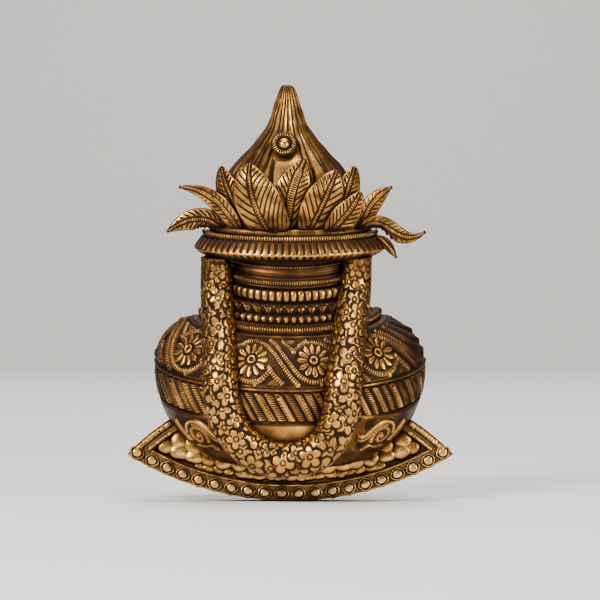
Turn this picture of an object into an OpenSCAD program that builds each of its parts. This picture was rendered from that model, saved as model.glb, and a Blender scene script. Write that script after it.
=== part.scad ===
// Wall-hanging kalash: a water pot in high relief with garland, mango leaves,
// coconut and tray, open at the back, with a swinging hanger ring.
// Front faces -Y, the wall is the plane y = 0, and the lowest edge is at z = 0.

/* [Belly] */
// Widest radius of the pot
belly_r = 68; // [60:1:78]
// How far the belly stands out from the wall
belly_depth = 44; // [36:1:50]
// Height of the belly's curve above its widest level
belly_rise = 31.7; // [30:0.1:36]
// Height of the belly's curve below its widest level
belly_fall = 54; // [50:1:66]
// How far a point drops for each mm that it stands out, as seen from above
pot_drop = 0.34; // [0.2:0.01:0.4]
// Wall of the pot and its rings, measured along the wall plane
wall = 3.2; // [2.4:0.1:4.5]

/* [Bands] */
// Level of the pot's lower edge at the wall
pot_base_z = 26; // [22:1:34]
// Height of the plain foot
foot_h = 16; // [13:1:20]
// Height of the scroll band
scroll_h = 12; // [9:1:15]
// Height of the fluted band
fluted_h = 16; // [12:1:20]
// Height of the ridge under the medallions
ridge_h = 1.5; // [1:0.1:3]
// Height of the medallion band
medallion_h = 21.5; // [18:0.5:23]
// How far the ridge stands off the belly
ridge_lift = 0.9; // [0.4:0.1:2]
// How far the scroll band stands off the belly
scroll_lift = 0.4; // [0:0.1:1]

/* [Neck] */
// Heights of the rope ridge, small flutes, petal ring, neck flutes and neck rope
neck_heights = [4, 4, 5, 6.5, 6.5];
// Outer radii of the same five rings
neck_radii = [46, 40, 36, 33, 32.2];
// Radius of the throat under the collar
throat_r = 31; // [28:1:34]

/* [Collar] */
// Level of the collar's lower face at the wall
collar_z = 124.2; // [123:0.1:130]
// Radius of the collar at its widest
collar_r = 48.5; // [45:0.5:54]
// How far the collar stands out from the wall
collar_depth = 26; // [24:1:32]
// Height of the fluted collar
collar_h = 10; // [8:0.5:13]
// Height of the rope on the collar
collar_rope_h = 2; // [1.5:0.1:3]
// Height of the plain lip
lip_h = 3.5; // [2.5:0.1:5]
// Drop of the collar's rings for each mm that they stand out
collar_drop = 0.2; // [0.1:0.01:0.25]

/* [Coconut] */
// Radius of the coconut at its widest
coconut_r = 33; // [29:1:34]
// Height of the coconut from lip to tip
coconut_h = 69.8; // [60:0.2:80]
// Depth of the coconut over its radius
coconut_flat = 0.6; // [0.5:0.01:0.62]
// Radius of the rosette on the coconut
tika_r = 6; // [4:0.5:8]

/* [Leaves] */
// Thickness of a leaf
leaf_t = 1.6; // [1:0.1:1.8]
// Step between one layer of leaves and the next
leaf_step = 2.6; // [2.5:0.1:3.4]

/* [Garland] */
// Radius of the flower rope
garland_r = 8.6; // [7:0.1:9.5]

/* [Tray] */
// Half of the tray's width, to its points
tray_half_w = 82; // [74:1:94]
// Rise of the front edge from its middle to its points
tray_front_rise = 23; // [18:1:28]
// Rise of the back edge from its points to its middle
tray_back_rise = 35; // [28:1:40]
// How far the front edge stands out from the wall
tray_depth = 16; // [14:0.5:20]
// Lean of the tray's face towards the wall
tray_lean = 9; // [6:0.5:12]
// Wall of the tray
tray_wall = 3; // [2.4:0.1:4]
// Depth of the well behind the beaded border
well_depth = 3; // [2:0.1:4]
// Width of the beaded border
border_w = 6.6; // [6:0.1:9]
// Radius of one bead
bead_r = 2.1; // [1.5:0.1:2.4]
// Number of beads
bead_n = 20; // [12:1:21]

/* [Hanger] */
// Radius of the hanger ring's wire
wire_r = 1.3; // [1:0.1:1.6]
// Mean radius of the hanger ring
hanger_r = 12; // [10:0.5:14]
// Radial clearance of the ring in its lug
hinge_clear = 0.1; // [0.05:0.01:0.1]
// Thickness of the cross strap
strap_t = 2.5; // [2:0.1:4]
// Height of the cross strap
strap_h = 6.5; // [5:0.5:7]

/* [Hidden] */
$fn = 96;
seam = 0.05;          // gap between brazed pieces that aren't face to face
pot_flat = belly_depth / belly_r;
collar_flat = collar_depth / collar_r;
brass = [0.72, 0.55, 0.28];
old_brass = [0.55, 0.4, 0.2];
bright_brass = [0.8, 0.63, 0.35];

// Levels at the wall, from the pot's base upwards
scroll_z = pot_base_z + foot_h;
fluted_z = scroll_z + scroll_h;
ridge_z = fluted_z + fluted_h;
medallion_z = ridge_z + ridge_h;
neck_z = medallion_z + medallion_h;
function neck_level(i) = i == 0 ? neck_z : neck_level(i - 1) + neck_heights[i - 1];
neck_rings = len(neck_heights);
throat_z = neck_level(neck_rings);
collar_rope_z = collar_z + collar_h;
lip_z = collar_rope_z + collar_rope_h;
lip_top = lip_z + lip_h;
lip_r = collar_r - 7;
belly_mid_z = ridge_z;

// ---------- shared shapes ----------

// Radius of the belly at level z
belly_power = 2.3;
function belly_share(z) = z > belly_mid_z ? (z - belly_mid_z) / belly_rise
    : (belly_mid_z - z) / belly_fall;
function belly_radius(z) = let (t = min(belly_share(z), 0.999))
    belly_r * pow(1 - pow(t, belly_power), 1 / belly_power);

// Outer radius of the pot at any level, belly or neck
function neck_at(z) = z > throat_z ? throat_r
    : neck_radii[max([for (i = [0:neck_rings - 1]) if (z >= neck_level(i)) i])];
// Lift of each belly band above the plain curve
function band_lift(z) = z < scroll_z ? 0 : z < fluted_z ? scroll_lift : z < ridge_z ? 0
    : z < medallion_z ? ridge_lift : 0;
function pot_radius(z) = z < pot_base_z ? 0 : z < neck_z ? belly_radius(z) + band_lift(z) : neck_at(z);

// A smooth cover over every ring of the pot, for what lies across them
neck_corners = concat([[neck_z, max(belly_radius(neck_z) + ridge_lift, neck_radii[0])]],
    [for (i = [0:neck_rings - 1]) [neck_level(i + 1), neck_radii[i]]], [[throat_z + 5, throat_r]]);
function cover_radius(z) = (z < neck_z ? max(belly_radius(max(z, pot_base_z)) + ridge_lift,
    z > neck_z - neck_heights[0] ? neck_radii[0] : 0) : lookup(z, neck_corners)) + 0.3;

// How far the pot stands out at x and height z, after its drop, by halving
function half_ring_depth(r, x) = r > abs(x) ? pot_flat * sqrt(r * r - x * x) : -1;
function halve_pot(x, z, near, far, cover, n) = let (mid = (near + far) / 2,
    level = z + pot_drop * mid, r = cover ? cover_radius(level) : pot_radius(level))
    n == 0 ? near : half_ring_depth(r, x) >= mid
    ? halve_pot(x, z, mid, far, cover, n - 1) : halve_pot(x, z, near, mid, cover, n - 1);
function pot_depth(x, z, cover = false) = let (start = cover ? 0
    : max(0, (pot_base_z + 0.01 - z) / pot_drop))
    !cover && half_ring_depth(pot_radius(z + pot_drop * start), x) < start ? 0
    : halve_pot(x, z, start, belly_depth + 10, cover, 13);

// Places a half ring: flattened towards the wall and dropped towards the viewer
module relief(flat, drop, turn = 180) {
    multmatrix([[1, 0, 0, 0], [0, flat, 0, 0], [0, drop * flat, 1, 0], [0, 0, 0, 1]])
        rotate([0, 0, 180]) rotate_extrude(angle = turn, $fn = 2 * $fn) children();
}

// A pot ring between two levels; flange is the radius that its top reaches in to
function belly_curve(z0, z1, lift, steps) = [for (i = [0:steps])
    let (z = z0 + (z1 - z0) * i / steps) [belly_radius(z) + lift, z]];
module belly_ring(z0, z1, lift, steps, flange = 0) {
    shelf = 3;
    z_in = flange > 0 ? z1 - shelf : z1;
    inside = [for (i = [steps:-1:0]) let (z = z0 + (z_in - z0) * i / steps) [belly_radius(z) - wall, z]];
    relief(pot_flat, pot_drop) polygon(concat(belly_curve(z0, z1, lift, steps),
        flange > 0 ? [[flange, z1]] : [], inside));
}

// The belly as one solid, used to fit pieces against it
module belly_solid(grow) {
    relief(pot_flat, pot_drop, 360) polygon(concat([[0, pot_base_z - grow]],
        belly_curve(pot_base_z, scroll_z, grow, 8), belly_curve(scroll_z, fluted_z, scroll_lift + grow, 6),
        belly_curve(fluted_z, ridge_z, grow, 8), belly_curve(ridge_z, medallion_z, ridge_lift + grow, 2),
        belly_curve(medallion_z, neck_z, grow, 12), [[0, neck_z]]));
}

// A neck ring with a rounded face
module neck_ring(i) {
    z0 = neck_level(i);
    z1 = neck_level(i + 1);
    r = neck_radii[i];
    above = i < neck_rings - 1 ? neck_radii[i + 1] : throat_r;
    inner = min(r, above) - wall;
    round_in = min(1.2, (z1 - z0) / 4);
    relief(pot_flat, pot_drop) polygon([[inner, z0], [r - round_in, z0], [r, z0 + round_in],
        [r, z1 - round_in], [r - round_in, z1], [inner, z1]]);
}

// Puts children on the pot's skin at x and z, with +Z along the outward normal
module on_pot(x, z, lift) {
    d = 1.5;
    slope_x = (pot_depth(x + d, z) - pot_depth(x - d, z)) / (2 * d);
    slope_z = (pot_depth(x, z + d) - pot_depth(x, z - d)) / (2 * d);
    n = [-slope_x, -1, -slope_z] / norm([slope_x, 1, slope_z]);
    translate([x, -pot_depth(x, z), z]) rotate([0, acos(n[2]), atan2(n[1], n[0])])
        translate([0, 0, lift]) children();
}

// A raised disc with a knob in its middle and a rim, on a base that is cut to fit the belly
boss_sink = 1.6;
module boss(r, h) {
    difference() {
        union() {
            translate([0, 0, -boss_sink]) cylinder(r = r, h = h + boss_sink);
            translate([0, 0, h]) cylinder(r = r * 0.3, h = h);
            difference() {
                cylinder(r = r, h = h * 1.6);
                translate([0, 0, h]) cylinder(r = r * 0.82, h = h);
            }
        }
    }
}

// ---------- pot ----------

module pot_foot() { color(brass) belly_ring(pot_base_z, scroll_z, 0, 8); }
module scroll_band() { color(brass) belly_ring(scroll_z, fluted_z, scroll_lift, 6); }
module fluted_band() { color(brass) belly_ring(fluted_z, ridge_z, 0, 8); }
module lower_ridge() { color(bright_brass) belly_ring(ridge_z, medallion_z, ridge_lift, 2); }
module medallion_band() {
    color(old_brass) belly_ring(medallion_z, neck_z, 0, 12, flange = min(belly_radius(neck_z),
        neck_radii[0]) - wall);
}
module rope_ridge() { color(bright_brass) neck_ring(0); }
module small_flutes_ring() { color(brass) neck_ring(1); }
module petal_ring() { color(old_brass) neck_ring(2); }
module neck_flutes_ring() { color(brass) neck_ring(3); }
module neck_rope_ring() { color(bright_brass) neck_ring(4); }

// The throat rises from the neck and is cut off along the collar's lower face
module throat() {
    color(old_brass) intersection() {
        relief(pot_flat, pot_drop) translate([throat_r - wall, throat_z])
            square([wall, collar_z - throat_z + 10]);
        multmatrix([[1, 0, 0, 0], [0, 1, 0, 0], [0, collar_drop, 1, 0], [0, 0, 0, 1]])
            translate([-collar_r, -2 * collar_depth, 0]) cube([2 * collar_r, 3 * collar_depth, collar_z]);
    }
}

// Four rosettes, each set by how far across and how far above the band's middle it is
rosette_r = 6;
rosette_h = 0.9;
medallion_mid = medallion_z + medallion_h / 2;
module medallion_rosettes() {
    color(bright_brass) difference() {
        for (at = [[-51.5, -8.5], [-18, -13], [11, -13.2], [44.5, -8]])
            on_pot(at[0], medallion_mid + at[1], 0) boss(rosette_r, rosette_h);
        belly_solid(0.02);
    }
}

// A scroll's coil at each side of the foot
volute_r = 6.5;
volute_h = 1.2;
volute_x = 48;
module volute(x) {
    color(brass) difference() {
        on_pot(x, scroll_z - 4, 0) boss(volute_r, volute_h);
        belly_solid(0.02);
    }
}
module left_scroll() { volute(-volute_x); }
module right_scroll() { volute(volute_x); }

// ---------- collar ----------

// The fluted collar: a bulging wall on a base plate that seats on the throat
collar_bulge = 4.5;
collar_plate = 2.4;
collar_seat_r = throat_r - wall - 0.8;
collar_wall_r = collar_r - collar_bulge - wall;
function collar_face(grow) = [for (i = [0:12]) let (a = -90 + 15 * i)
    [collar_r - collar_bulge + grow + collar_bulge * cos(a), collar_z + collar_h / 2 * (1 + sin(a))]];
module collar() {
    color(brass) relief(collar_flat, collar_drop) polygon(concat([[collar_seat_r, collar_z]],
        collar_face(0),
        [[collar_wall_r, collar_z + collar_h], [collar_wall_r, collar_z + collar_plate],
        [collar_seat_r, collar_z + collar_plate]]));
}
module collar_rope() {
    r = collar_r - collar_bulge;
    color(bright_brass) relief(collar_flat, collar_drop) polygon([[r - 6, collar_rope_z],
        [r - 0.5, collar_rope_z], [r, collar_rope_z + collar_rope_h / 2],
        [r - 0.5, lip_z], [r - 6, lip_z]]);
}
// The lip is a rolled rim round a plate that the coconut and the leaves stand on
lip_plate = 2;
mouth_r = 17;
module lip() {
    color(brass) relief(collar_flat, collar_drop) polygon([[lip_r - 6, lip_z], [lip_r - 1, lip_z],
        [lip_r, lip_z + lip_h * 0.3], [lip_r, lip_z + lip_h * 0.7], [lip_r - 1, lip_top],
        [mouth_r, lip_top], [mouth_r, lip_top - lip_plate], [lip_r - 6, lip_top - lip_plate]]);
}

// ---------- coconut ----------

// Smooth curve through a list of points, t counted in points
function list_point(list, i) = list[min(max(i, 0), len(list) - 1)];
function smooth(list, u) = let (i = min(floor(u), len(list) - 2), t = u - i, a = list_point(list, i - 1),
    b = list_point(list, i), c = list_point(list, i + 1), d = list_point(list, i + 2))
    0.5 * (2 * b + (c - a) * t + (2 * a - 5 * b + 4 * c - d) * t * t
    + (3 * b - a - 3 * c + d) * t * t * t);

// Share of the coconut's widest radius at equal steps up its height, from base to tip
coconut_outline = [0.73, 0.9, 0.985, 0.985, 0.86, 0.66, 0.47, 0.315, 0.236, 0.162, 0.085];
function coconut_radius(s) = coconut_r * smooth(coconut_outline, s * (len(coconut_outline) - 1));
coconut_x = -1.3;
module coconut_place(turn = 180) {
    translate([coconut_x, 0, 0]) relief(coconut_flat, collar_drop, turn) children();
}
coconut_steps = 26;
function coconut_curve(grow) = [for (i = [0:coconut_steps]) let (s = i / coconut_steps * 0.985)
    [coconut_radius(s) + grow, lip_top + coconut_h * s]];
module coconut() {
    wall_in = 3.4;
    hollow = 0.66;
    inside = [for (i = [coconut_steps:-1:0]) let (s = hollow * i / coconut_steps)
        [coconut_radius(s) - wall_in, lip_top + coconut_h * s]];
    color(brass) coconut_place() polygon(concat(coconut_curve(0),
        [[coconut_r * 0.06, lip_top + coconut_h], [0, lip_top + coconut_h],
        [0, inside[0][1] + 4]], inside));
}

// How far the coconut stands out at x and z
function coconut_half(r, x) = r > abs(x) ? coconut_flat * sqrt(r * r - x * x) : -1;
function halve_coconut(x, z, near, far, n) = let (mid = (near + far) / 2,
    s = (z + collar_drop * mid - lip_top) / coconut_h)
    n == 0 ? near : s < 1 && coconut_half(coconut_radius(s), x) >= mid
    ? halve_coconut(x, z, mid, far, n - 1) : halve_coconut(x, z, near, mid, n - 1);
function coconut_depth(x, z) = halve_coconut(x - coconut_x, z, 0, coconut_r, 12);

// The rosette on the coconut is a dished plate, cut to fit behind, and a boss in the dish
tika_x = -3;
tika_z = lip_top + coconut_h * 0.555;
tika_t = 1.4;
module tika_place(lift) {
    d = tika_r * 0.6;
    low = coconut_depth(tika_x, tika_z - d);
    high = coconut_depth(tika_x, tika_z + d);
    lean = atan((low - high) / (2 * d));
    translate([tika_x, -coconut_depth(tika_x, tika_z), tika_z]) rotate([90 - lean, 0, 0])
        translate([0, 0, lift]) children();
}
module tika_plate() {
    sink = 4;
    color(brass) difference() {
        tika_place(0) difference() {
            translate([0, 0, -sink]) cylinder(r = tika_r, h = sink + tika_t * 1.5);
            translate([0, 0, tika_t]) cylinder(r = tika_r * 0.62, h = tika_t);
        }
        coconut_place(360) polygon(concat([[0, lip_top]], coconut_curve(0.02),
            [[0, lip_top + coconut_h]]));
    }
}
module tika_boss() {
    r = tika_r * 0.5;
    color(bright_brass) tika_place(tika_t) intersection() {
        sphere(r = r);
        cylinder(r = r, h = r);
    }
}

// ---------- leaves ----------

function bezier(p, t) = pow(1 - t, 3) * p[0] + 3 * t * pow(1 - t, 2) * p[1]
    + 3 * t * t * (1 - t) * p[2] + pow(t, 3) * p[3];
function bezier_turn(p, t) = let (d = 3 * pow(1 - t, 2) * (p[1] - p[0])
    + 6 * t * (1 - t) * (p[2] - p[1]) + 3 * t * t * (p[3] - p[2])) d / norm(d);
function leaf_half_width(t) = pow(sin(180 * (0.1 + 0.9 * t)), 0.8);

// The lip's upper face, where leaves stand; it ends beyond the collar
function seat_z(x, y) = lip_top + collar_drop * y - 1.2 * max(0, abs(x) - (collar_r - 2.5));
// Keeps a height above the seat, without folding the leaf over
function above_seat(z, x, y) = let (h = z - seat_z(x, y)) seat_z(x, y) + seam + (h > 1 ? h : exp(h - 1));

// Depth of the innermost leaves: clear of the coconut at the base and at its widest
crown_half_w = coconut_r * 1.33;
crown_h = coconut_h / 2;
crown_base = coconut_flat * coconut_radius(0) + leaf_t + 1;
crown_swell = coconut_flat * coconut_r + leaf_t + 2.9 - crown_base;
function crown_depth(x, z) = let (s = min(1, max(0, (z - lip_top) / crown_h)))
    (crown_base + crown_swell * sin(180 * s)) * sqrt(max(0.05, 1 - pow(x / crown_half_w, 2)));

// A curved sheet along the curve p. p holds x and height above the lip, w is half the width.
// It follows the crown in its layer, and depths gives the least depth at its root and its tip.
module leaf(p, w, layer = 0, depths = [0, 0]) {
    rows = 12;
    cols = 4;
    crown = 0.8;
    function place(i, j, back) = let (t = i / rows, v = 2 * j / cols - 1, c = bezier(p, t),
        n = bezier_turn(p, t), half = 0.3 + w * leaf_half_width(t), x = c[0] - n[1] * half * v,
        z = lip_top + c[1] + n[0] * half * v,
        out = max(depths[0] + (depths[1] - depths[0]) * t, crown_depth(x, z) + layer * leaf_step)
            + crown * (1 - v * v) - back * leaf_t)
        [x, -out, above_seat(z, x, -out)];
    points = [for (back = [0, 1]) for (i = [0:rows]) for (j = [0:cols]) place(i, j, back)];
    span = cols + 1;
    sheet = (rows + 1) * span;
    function quad(a, b, c, d) = [[a, b, c], [a, c, d]];
    front = [for (i = [0:rows - 1]) for (j = [0:cols - 1]) let (a = i * span + j)
        each quad(a, a + 1, a + span + 1, a + span)];
    rear = [for (f = front) [f[2] + sheet, f[1] + sheet, f[0] + sheet]];
    edges = concat(
        [for (i = [0:rows - 1]) let (a = i * span) each quad(a, a + span, a + span + sheet, a + sheet)],
        [for (i = [0:rows - 1]) let (a = i * span + cols)
            each quad(a + span, a, a + sheet, a + span + sheet)],
        [for (j = [0:cols - 1]) each quad(j + 1, j, j + sheet, j + 1 + sheet)],
        [for (j = [0:cols - 1]) let (a = rows * span + j)
            each quad(a, a + 1, a + 1 + sheet, a + sheet)]);
    polyhedron(points, concat(front, rear, edges));
}

module leaf_front_left() {
    color(brass) leaf([[-3, -6], [-14, 2], [-22, 18], [-20, 29]], 11, layer = 2);
}
module leaf_front_right() {
    color(brass) leaf([[8, -6], [14, 3], [19, 14], [23.5, 25.5]], 9.5, layer = 1);
}
module leaf_centre() {
    color(brass) leaf([[-1.5, -6], [-1, 11], [2, 20], [7.5, 31]], 8.5, layer = 0);
}
module leaf_side_left() {
    color(brass) leaf([[-21, -5.5], [-26, 6], [-33, 16], [-34.5, 28]], 6.5, layer = 0);
}
module leaf_side_right() {
    color(brass) leaf([[20, -5.5], [25, 6], [30, 16], [32.5, 28]], 6.5, layer = 0);
}
module leaf_low_right() {
    color(brass) leaf([[19, -6], [25, -1], [31, 5], [35.5, 15]], 6.5, layer = 2);
}
module leaf_spread_left() {
    color(brass) leaf([[-24, -6], [-32, 4], [-38, 17], [-56, 17.5]], 4.2, layer = 1, depths = [12, 13]);
}
module leaf_low_left() {
    color(brass) leaf([[-33, -5], [-40, 3], [-50, 4], [-62, -5]], 5.6, layer = -3, depths = [12, 9]);
}
module leaf_spread_right() {
    color(brass) leaf([[35, -5], [38, 6], [43, 13], [51, 17.5]], 4.5, layer = -3, depths = [10, 9]);
}
module leaf_horn() {
    color(brass) leaf([[33.5, -6], [48, 9.5], [52, -16], [68, -5]], 4.4, layer = -3, depths = [12.6, 10]);
}
// A small leaf that hangs from behind the collar's end, cut to fit it
module leaf_drooping() {
    long = 13;
    broad = 4.6;
    arc_r = arc_radius(long / 2, broad / 2);
    color(brass) difference() {
        translate([collar_r + 0.6, -4.4, collar_z - 0.5]) rotate([90, 42, 0])
            linear_extrude(leaf_t) intersection() {
                translate([0, arc_r - broad / 2]) circle(r = arc_r);
                translate([0, broad / 2 - arc_r]) circle(r = arc_r);
            }
        relief(collar_flat, collar_drop, 360) polygon(concat([[0, collar_z]], collar_face(0.02),
            [[0, collar_z + collar_h]]));
    }
}

// ---------- garland ----------

// Centreline: x, and share of the way up from its lowest point to its ends
garland_low = pot_base_z - 4.5;
garland_high = collar_z - 1;
garland_course = [[-37.4, 1], [-36.9, 0.82], [-35.6, 0.64], [-34.5, 0.45], [-33.6, 0.31], [-29.5, 0.17],
    [-19.5, 0.055], [-7, 0.005], [6, 0.008], [17.5, 0.075], [24.2, 0.2], [26.6, 0.35], [28.2, 0.5],
    [30.4, 0.66], [32.6, 0.82], [33.8, 1]];
// The rope is thinner towards its ends
garland_thin = 0.2;
function garland_radius(k, last) = garland_r * (1 - garland_thin * pow(2 * abs(k / last - 0.5), 2));
function garland_point(u) = let (p = smooth(garland_course, u))
    [p[0], garland_low + p[1] * (garland_high - garland_low)];
// Depth of the centreline: the pot's skin, averaged over the rope's own width, and part of its radius
function garland_out(x, z) = let (spread = [for (s = [-12:3:12]) pot_depth(x, z + s, cover = true)])
    max(garland_r + 1, spread * [for (s = spread) 1] / len(spread) + garland_r * 0.3);

module garland() {
    sides = 12;
    per_span = 4;
    last = (len(garland_course) - 1) * per_span;
    line = [for (k = [0:last]) let (p = garland_point(k / per_span)) [p[0], -garland_out(p[0], p[1]), p[1]]];
    function rope_point(k, j) = let (along = line[min(k + 1, last)] - line[max(k - 1, 0)],
        across = cross([0, -1, 0], along) / norm(cross([0, -1, 0], along)),
        a = 360 * j / sides,
        p = line[k] + garland_radius(k, last) * (across * cos(a) + [0, -1, 0] * sin(a)),
        y = min(p[1], -pot_depth(p[0], p[2], cover = true) - 0.1, -0.3))
        [p[0], y, min(p[2], collar_z + collar_drop * y - seam)];
    points = [for (k = [0:last]) for (j = [0:sides - 1]) rope_point(k, j)];
    skin = [for (k = [0:last - 1]) for (j = [0:sides - 1])
        let (a = k * sides + j, b = k * sides + (j + 1) % sides)
        each [[a, b + sides, b], [a, a + sides, b + sides]]];
    ends = [for (j = [1:sides - 2]) each [[0, j, j + 1],
        [last * sides, last * sides + j + 1, last * sides + j]]];
    color(old_brass) polyhedron(points, concat(skin, ends));
}

// ---------- tray ----------

// Radius of a circle from half its chord and its rise
function arc_radius(half, rise) = (half * half + rise * rise) / (2 * rise);
front_arc = arc_radius(tray_half_w, tray_front_rise);
back_arc = arc_radius(tray_half_w, tray_back_rise);
back_centre = tray_front_rise + tray_back_rise - back_arc;

// Outline of the tray, drawn in x and height, taken in by a margin
module tray_outline(margin) {
    intersection() {
        translate([0, front_arc]) circle(r = front_arc - margin);
        translate([0, back_centre]) circle(r = back_arc - margin);
    }
}
// Height of the tray's lower edge, and the frame of its leaning face, with +Z towards the viewer
function tray_face_y(z) = -tray_depth + z * tan(tray_lean);
module on_tray(lift) {
    translate([0, -tray_depth, 0]) rotate([90 - tray_lean, 0, 0]) translate([0, 0, lift]) children();
}
// The outline run straight back from the viewer to the wall, kept to one side of the leaning face
module tray_block(margin, lift, front = false) {
    far = 60;
    intersection() {
        translate([0, far / 2, 0]) rotate([90, 0, 0]) linear_extrude(2 * far) tray_outline(margin);
        on_tray(lift) translate([-2 * far, -far, front ? 0 : -far]) cube([4 * far, 3 * far, far]);
    }
}
// Everything in front of the wall
module before_wall() {
    translate([-2 * tray_half_w, -100, -20]) cube([4 * tray_half_w, 100, 300]);
}

module tray() {
    color(old_brass) intersection() {
        difference() {
            tray_block(0, 0);
            tray_block(border_w, -well_depth, front = true);
            tray_block(tray_wall, -well_depth - tray_wall);
            belly_solid(seam);
        }
        before_wall();
    }
}

// Overlapping scales heaped in the well, in rows that follow the front edge
petal_r = 6.2;
petal_t = 1.8;
module tray_petals() {
    row_step = 7;
    color(bright_brass) difference() {
        on_tray(-well_depth) linear_extrude(petal_t) intersection() {
            tray_outline(border_w + 0.6);
            union() for (row = [0:3]) let (r = front_arc - border_w - 9 - row_step * row)
                for (k = [-11:11]) let (a = (k + (row % 2) / 2) * 9 / r * 180 / PI)
                if (abs(r * sin(a)) > 8 * row && abs(r * sin(a)) < tray_half_w - 12)
                    translate([r * sin(a), front_arc - r * cos(a)]) circle(r = petal_r);
        }
        belly_solid(seam);
    }
}

// Raised roll along the back edge, seen on both sides of the pot
module tray_back_roll() {
    roll_r = 1.9;
    inset = 2.1;
    end_angle = asin((tray_half_w - 12) / back_arc);
    color(bright_brass) intersection() {
        difference() {
            on_tray(0) translate([0, back_centre, 0]) for (side = [0, 1]) mirror([side, 0, 0])
                rotate([0, 0, 90 - end_angle]) rotate_extrude(angle = end_angle - 26)
                    translate([back_arc - inset, 0]) intersection() {
                        circle(r = roll_r);
                        translate([-roll_r, 0]) square([2 * roll_r, roll_r]);
                    }
            belly_solid(seam);
        }
        before_wall();
    }
}

// The beads run along the front border; each sits in its own ring
bead_line = front_arc - border_w / 2;
bead_end = asin((tray_half_w - 5.2) / bead_line);
module along_border() {
    for (i = [0:bead_n - 1]) let (a = bead_end * (2 * i / (bead_n - 1) - 1),
        z = front_arc - bead_line * cos(a))
        translate([bead_line * sin(a), tray_face_y(z), z]) rotate([90 - tray_lean, 0, 0]) children();
}
setting_r = 3.1;
setting_h = 1;
module bead_settings() {
    color(brass) along_border() difference() {
        cylinder(r = setting_r, h = setting_h);
        translate([0, 0, -1]) cylinder(r = bead_r + seam, h = setting_h + 2);
    }
}
module beads() {
    color(bright_brass) along_border() intersection() {
        sphere(r = bead_r);
        cylinder(r = bead_r, h = bead_r);
    }
}

// ---------- hanger ----------

strap_y = 10;
strap_back = strap_y - strap_t;
strap_low = collar_z + collar_plate - collar_drop * strap_back + seam;
strap_half = sqrt(pow(collar_wall_r, 2) - pow(strap_y / collar_flat, 2)) - seam;
eye_y = 4.6;
eye_z = strap_low + strap_h / 2;
lug_half = 3.5;
lug_r = strap_back - eye_y;

// Flat bar across the hollow, brazed to the inside of the collar
module hanger_strap() {
    color(old_brass) translate([-strap_half, -strap_y, strap_low])
        cube([2 * strap_half, strap_t, strap_h]);
}
// Knuckle that the hanger ring turns in
module hanger_lug() {
    color(old_brass) difference() {
        union() {
            translate([-lug_half, -eye_y, eye_z]) rotate([0, 90, 0]) cylinder(r = lug_r, h = 2 * lug_half);
            translate([-lug_half, -strap_back, eye_z - lug_r]) cube([2 * lug_half, lug_r, 2 * lug_r]);
        }
        translate([-lug_half - 1, -eye_y, eye_z]) rotate([0, 90, 0])
            cylinder(r = wire_r + hinge_clear, h = 2 * lug_half + 2);
    }
}
// D-shaped ring: a straight bar through the lug and a bow that takes the nail
module hanger_ring() {
    color(bright_brass) translate([0, -eye_y, eye_z]) {
        translate([-hanger_r, 0, 0]) rotate([0, 90, 0]) cylinder(r = wire_r, h = 2 * hanger_r);
        rotate([90, 180, 0]) rotate_extrude(angle = 180) translate([hanger_r, 0]) circle(r = wire_r);
        for (side = [-1, 1]) translate([side * hanger_r, 0, 0]) sphere(r = wire_r);
    }
}

pot_foot();
scroll_band();
fluted_band();
lower_ridge();
medallion_band();
rope_ridge();
small_flutes_ring();
petal_ring();
neck_flutes_ring();
neck_rope_ring();
throat();
medallion_rosettes();
left_scroll();
right_scroll();
collar();
collar_rope();
lip();
coconut();
tika_plate();
tika_boss();
leaf_front_left();
leaf_front_right();
leaf_centre();
leaf_side_left();
leaf_side_right();
leaf_low_right();
leaf_spread_left();
leaf_low_left();
leaf_spread_right();
leaf_horn();
leaf_drooping();
garland();
tray();
tray_petals();
tray_back_roll();
bead_settings();
beads();
hanger_strap();
hanger_lug();
hanger_ring();
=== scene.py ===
import bpy
import math
import numpy as np
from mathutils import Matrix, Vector
from mathutils.bvhtree import BVHTree


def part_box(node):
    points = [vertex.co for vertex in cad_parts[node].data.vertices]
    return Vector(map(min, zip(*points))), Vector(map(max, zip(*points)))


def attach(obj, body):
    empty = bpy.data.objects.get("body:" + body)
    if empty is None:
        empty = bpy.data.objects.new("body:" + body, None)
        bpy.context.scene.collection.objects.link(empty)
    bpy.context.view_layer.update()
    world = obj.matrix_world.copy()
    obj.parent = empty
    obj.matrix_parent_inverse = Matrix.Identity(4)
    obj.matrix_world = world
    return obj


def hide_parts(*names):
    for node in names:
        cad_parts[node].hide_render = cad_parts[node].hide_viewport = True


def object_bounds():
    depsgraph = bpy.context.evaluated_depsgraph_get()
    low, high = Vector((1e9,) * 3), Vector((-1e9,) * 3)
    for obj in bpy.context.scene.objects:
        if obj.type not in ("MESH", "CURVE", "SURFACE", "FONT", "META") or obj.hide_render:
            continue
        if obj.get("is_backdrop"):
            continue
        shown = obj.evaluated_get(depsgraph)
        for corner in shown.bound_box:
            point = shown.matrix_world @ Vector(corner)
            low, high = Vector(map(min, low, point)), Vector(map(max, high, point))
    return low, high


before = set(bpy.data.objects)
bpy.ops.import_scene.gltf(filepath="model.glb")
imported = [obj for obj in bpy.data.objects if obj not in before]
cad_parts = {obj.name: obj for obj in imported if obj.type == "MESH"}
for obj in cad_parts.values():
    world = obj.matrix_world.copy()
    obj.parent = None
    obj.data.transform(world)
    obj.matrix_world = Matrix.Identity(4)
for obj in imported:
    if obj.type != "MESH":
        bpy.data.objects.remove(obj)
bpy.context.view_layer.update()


# ---------- Foot of the pot ----------
# The plain foot and the band above it are smooth cast brass, rubbed bright by hand where the
# belly turns under, and darker towards both sides as painted shade. Every ring of the pot is chased as a flat
# strip and bent round its half.
MM = 0.001
BELLY_R = 68
BELLY_LEVEL = 70
BELLY_ROUND = 2.3
POT_FLAT = 44 / BELLY_R
POT_DROP = 0.34
FOOT_T, BELLY_T, RING_T = 5.0, 3.2, 2.2


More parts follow.
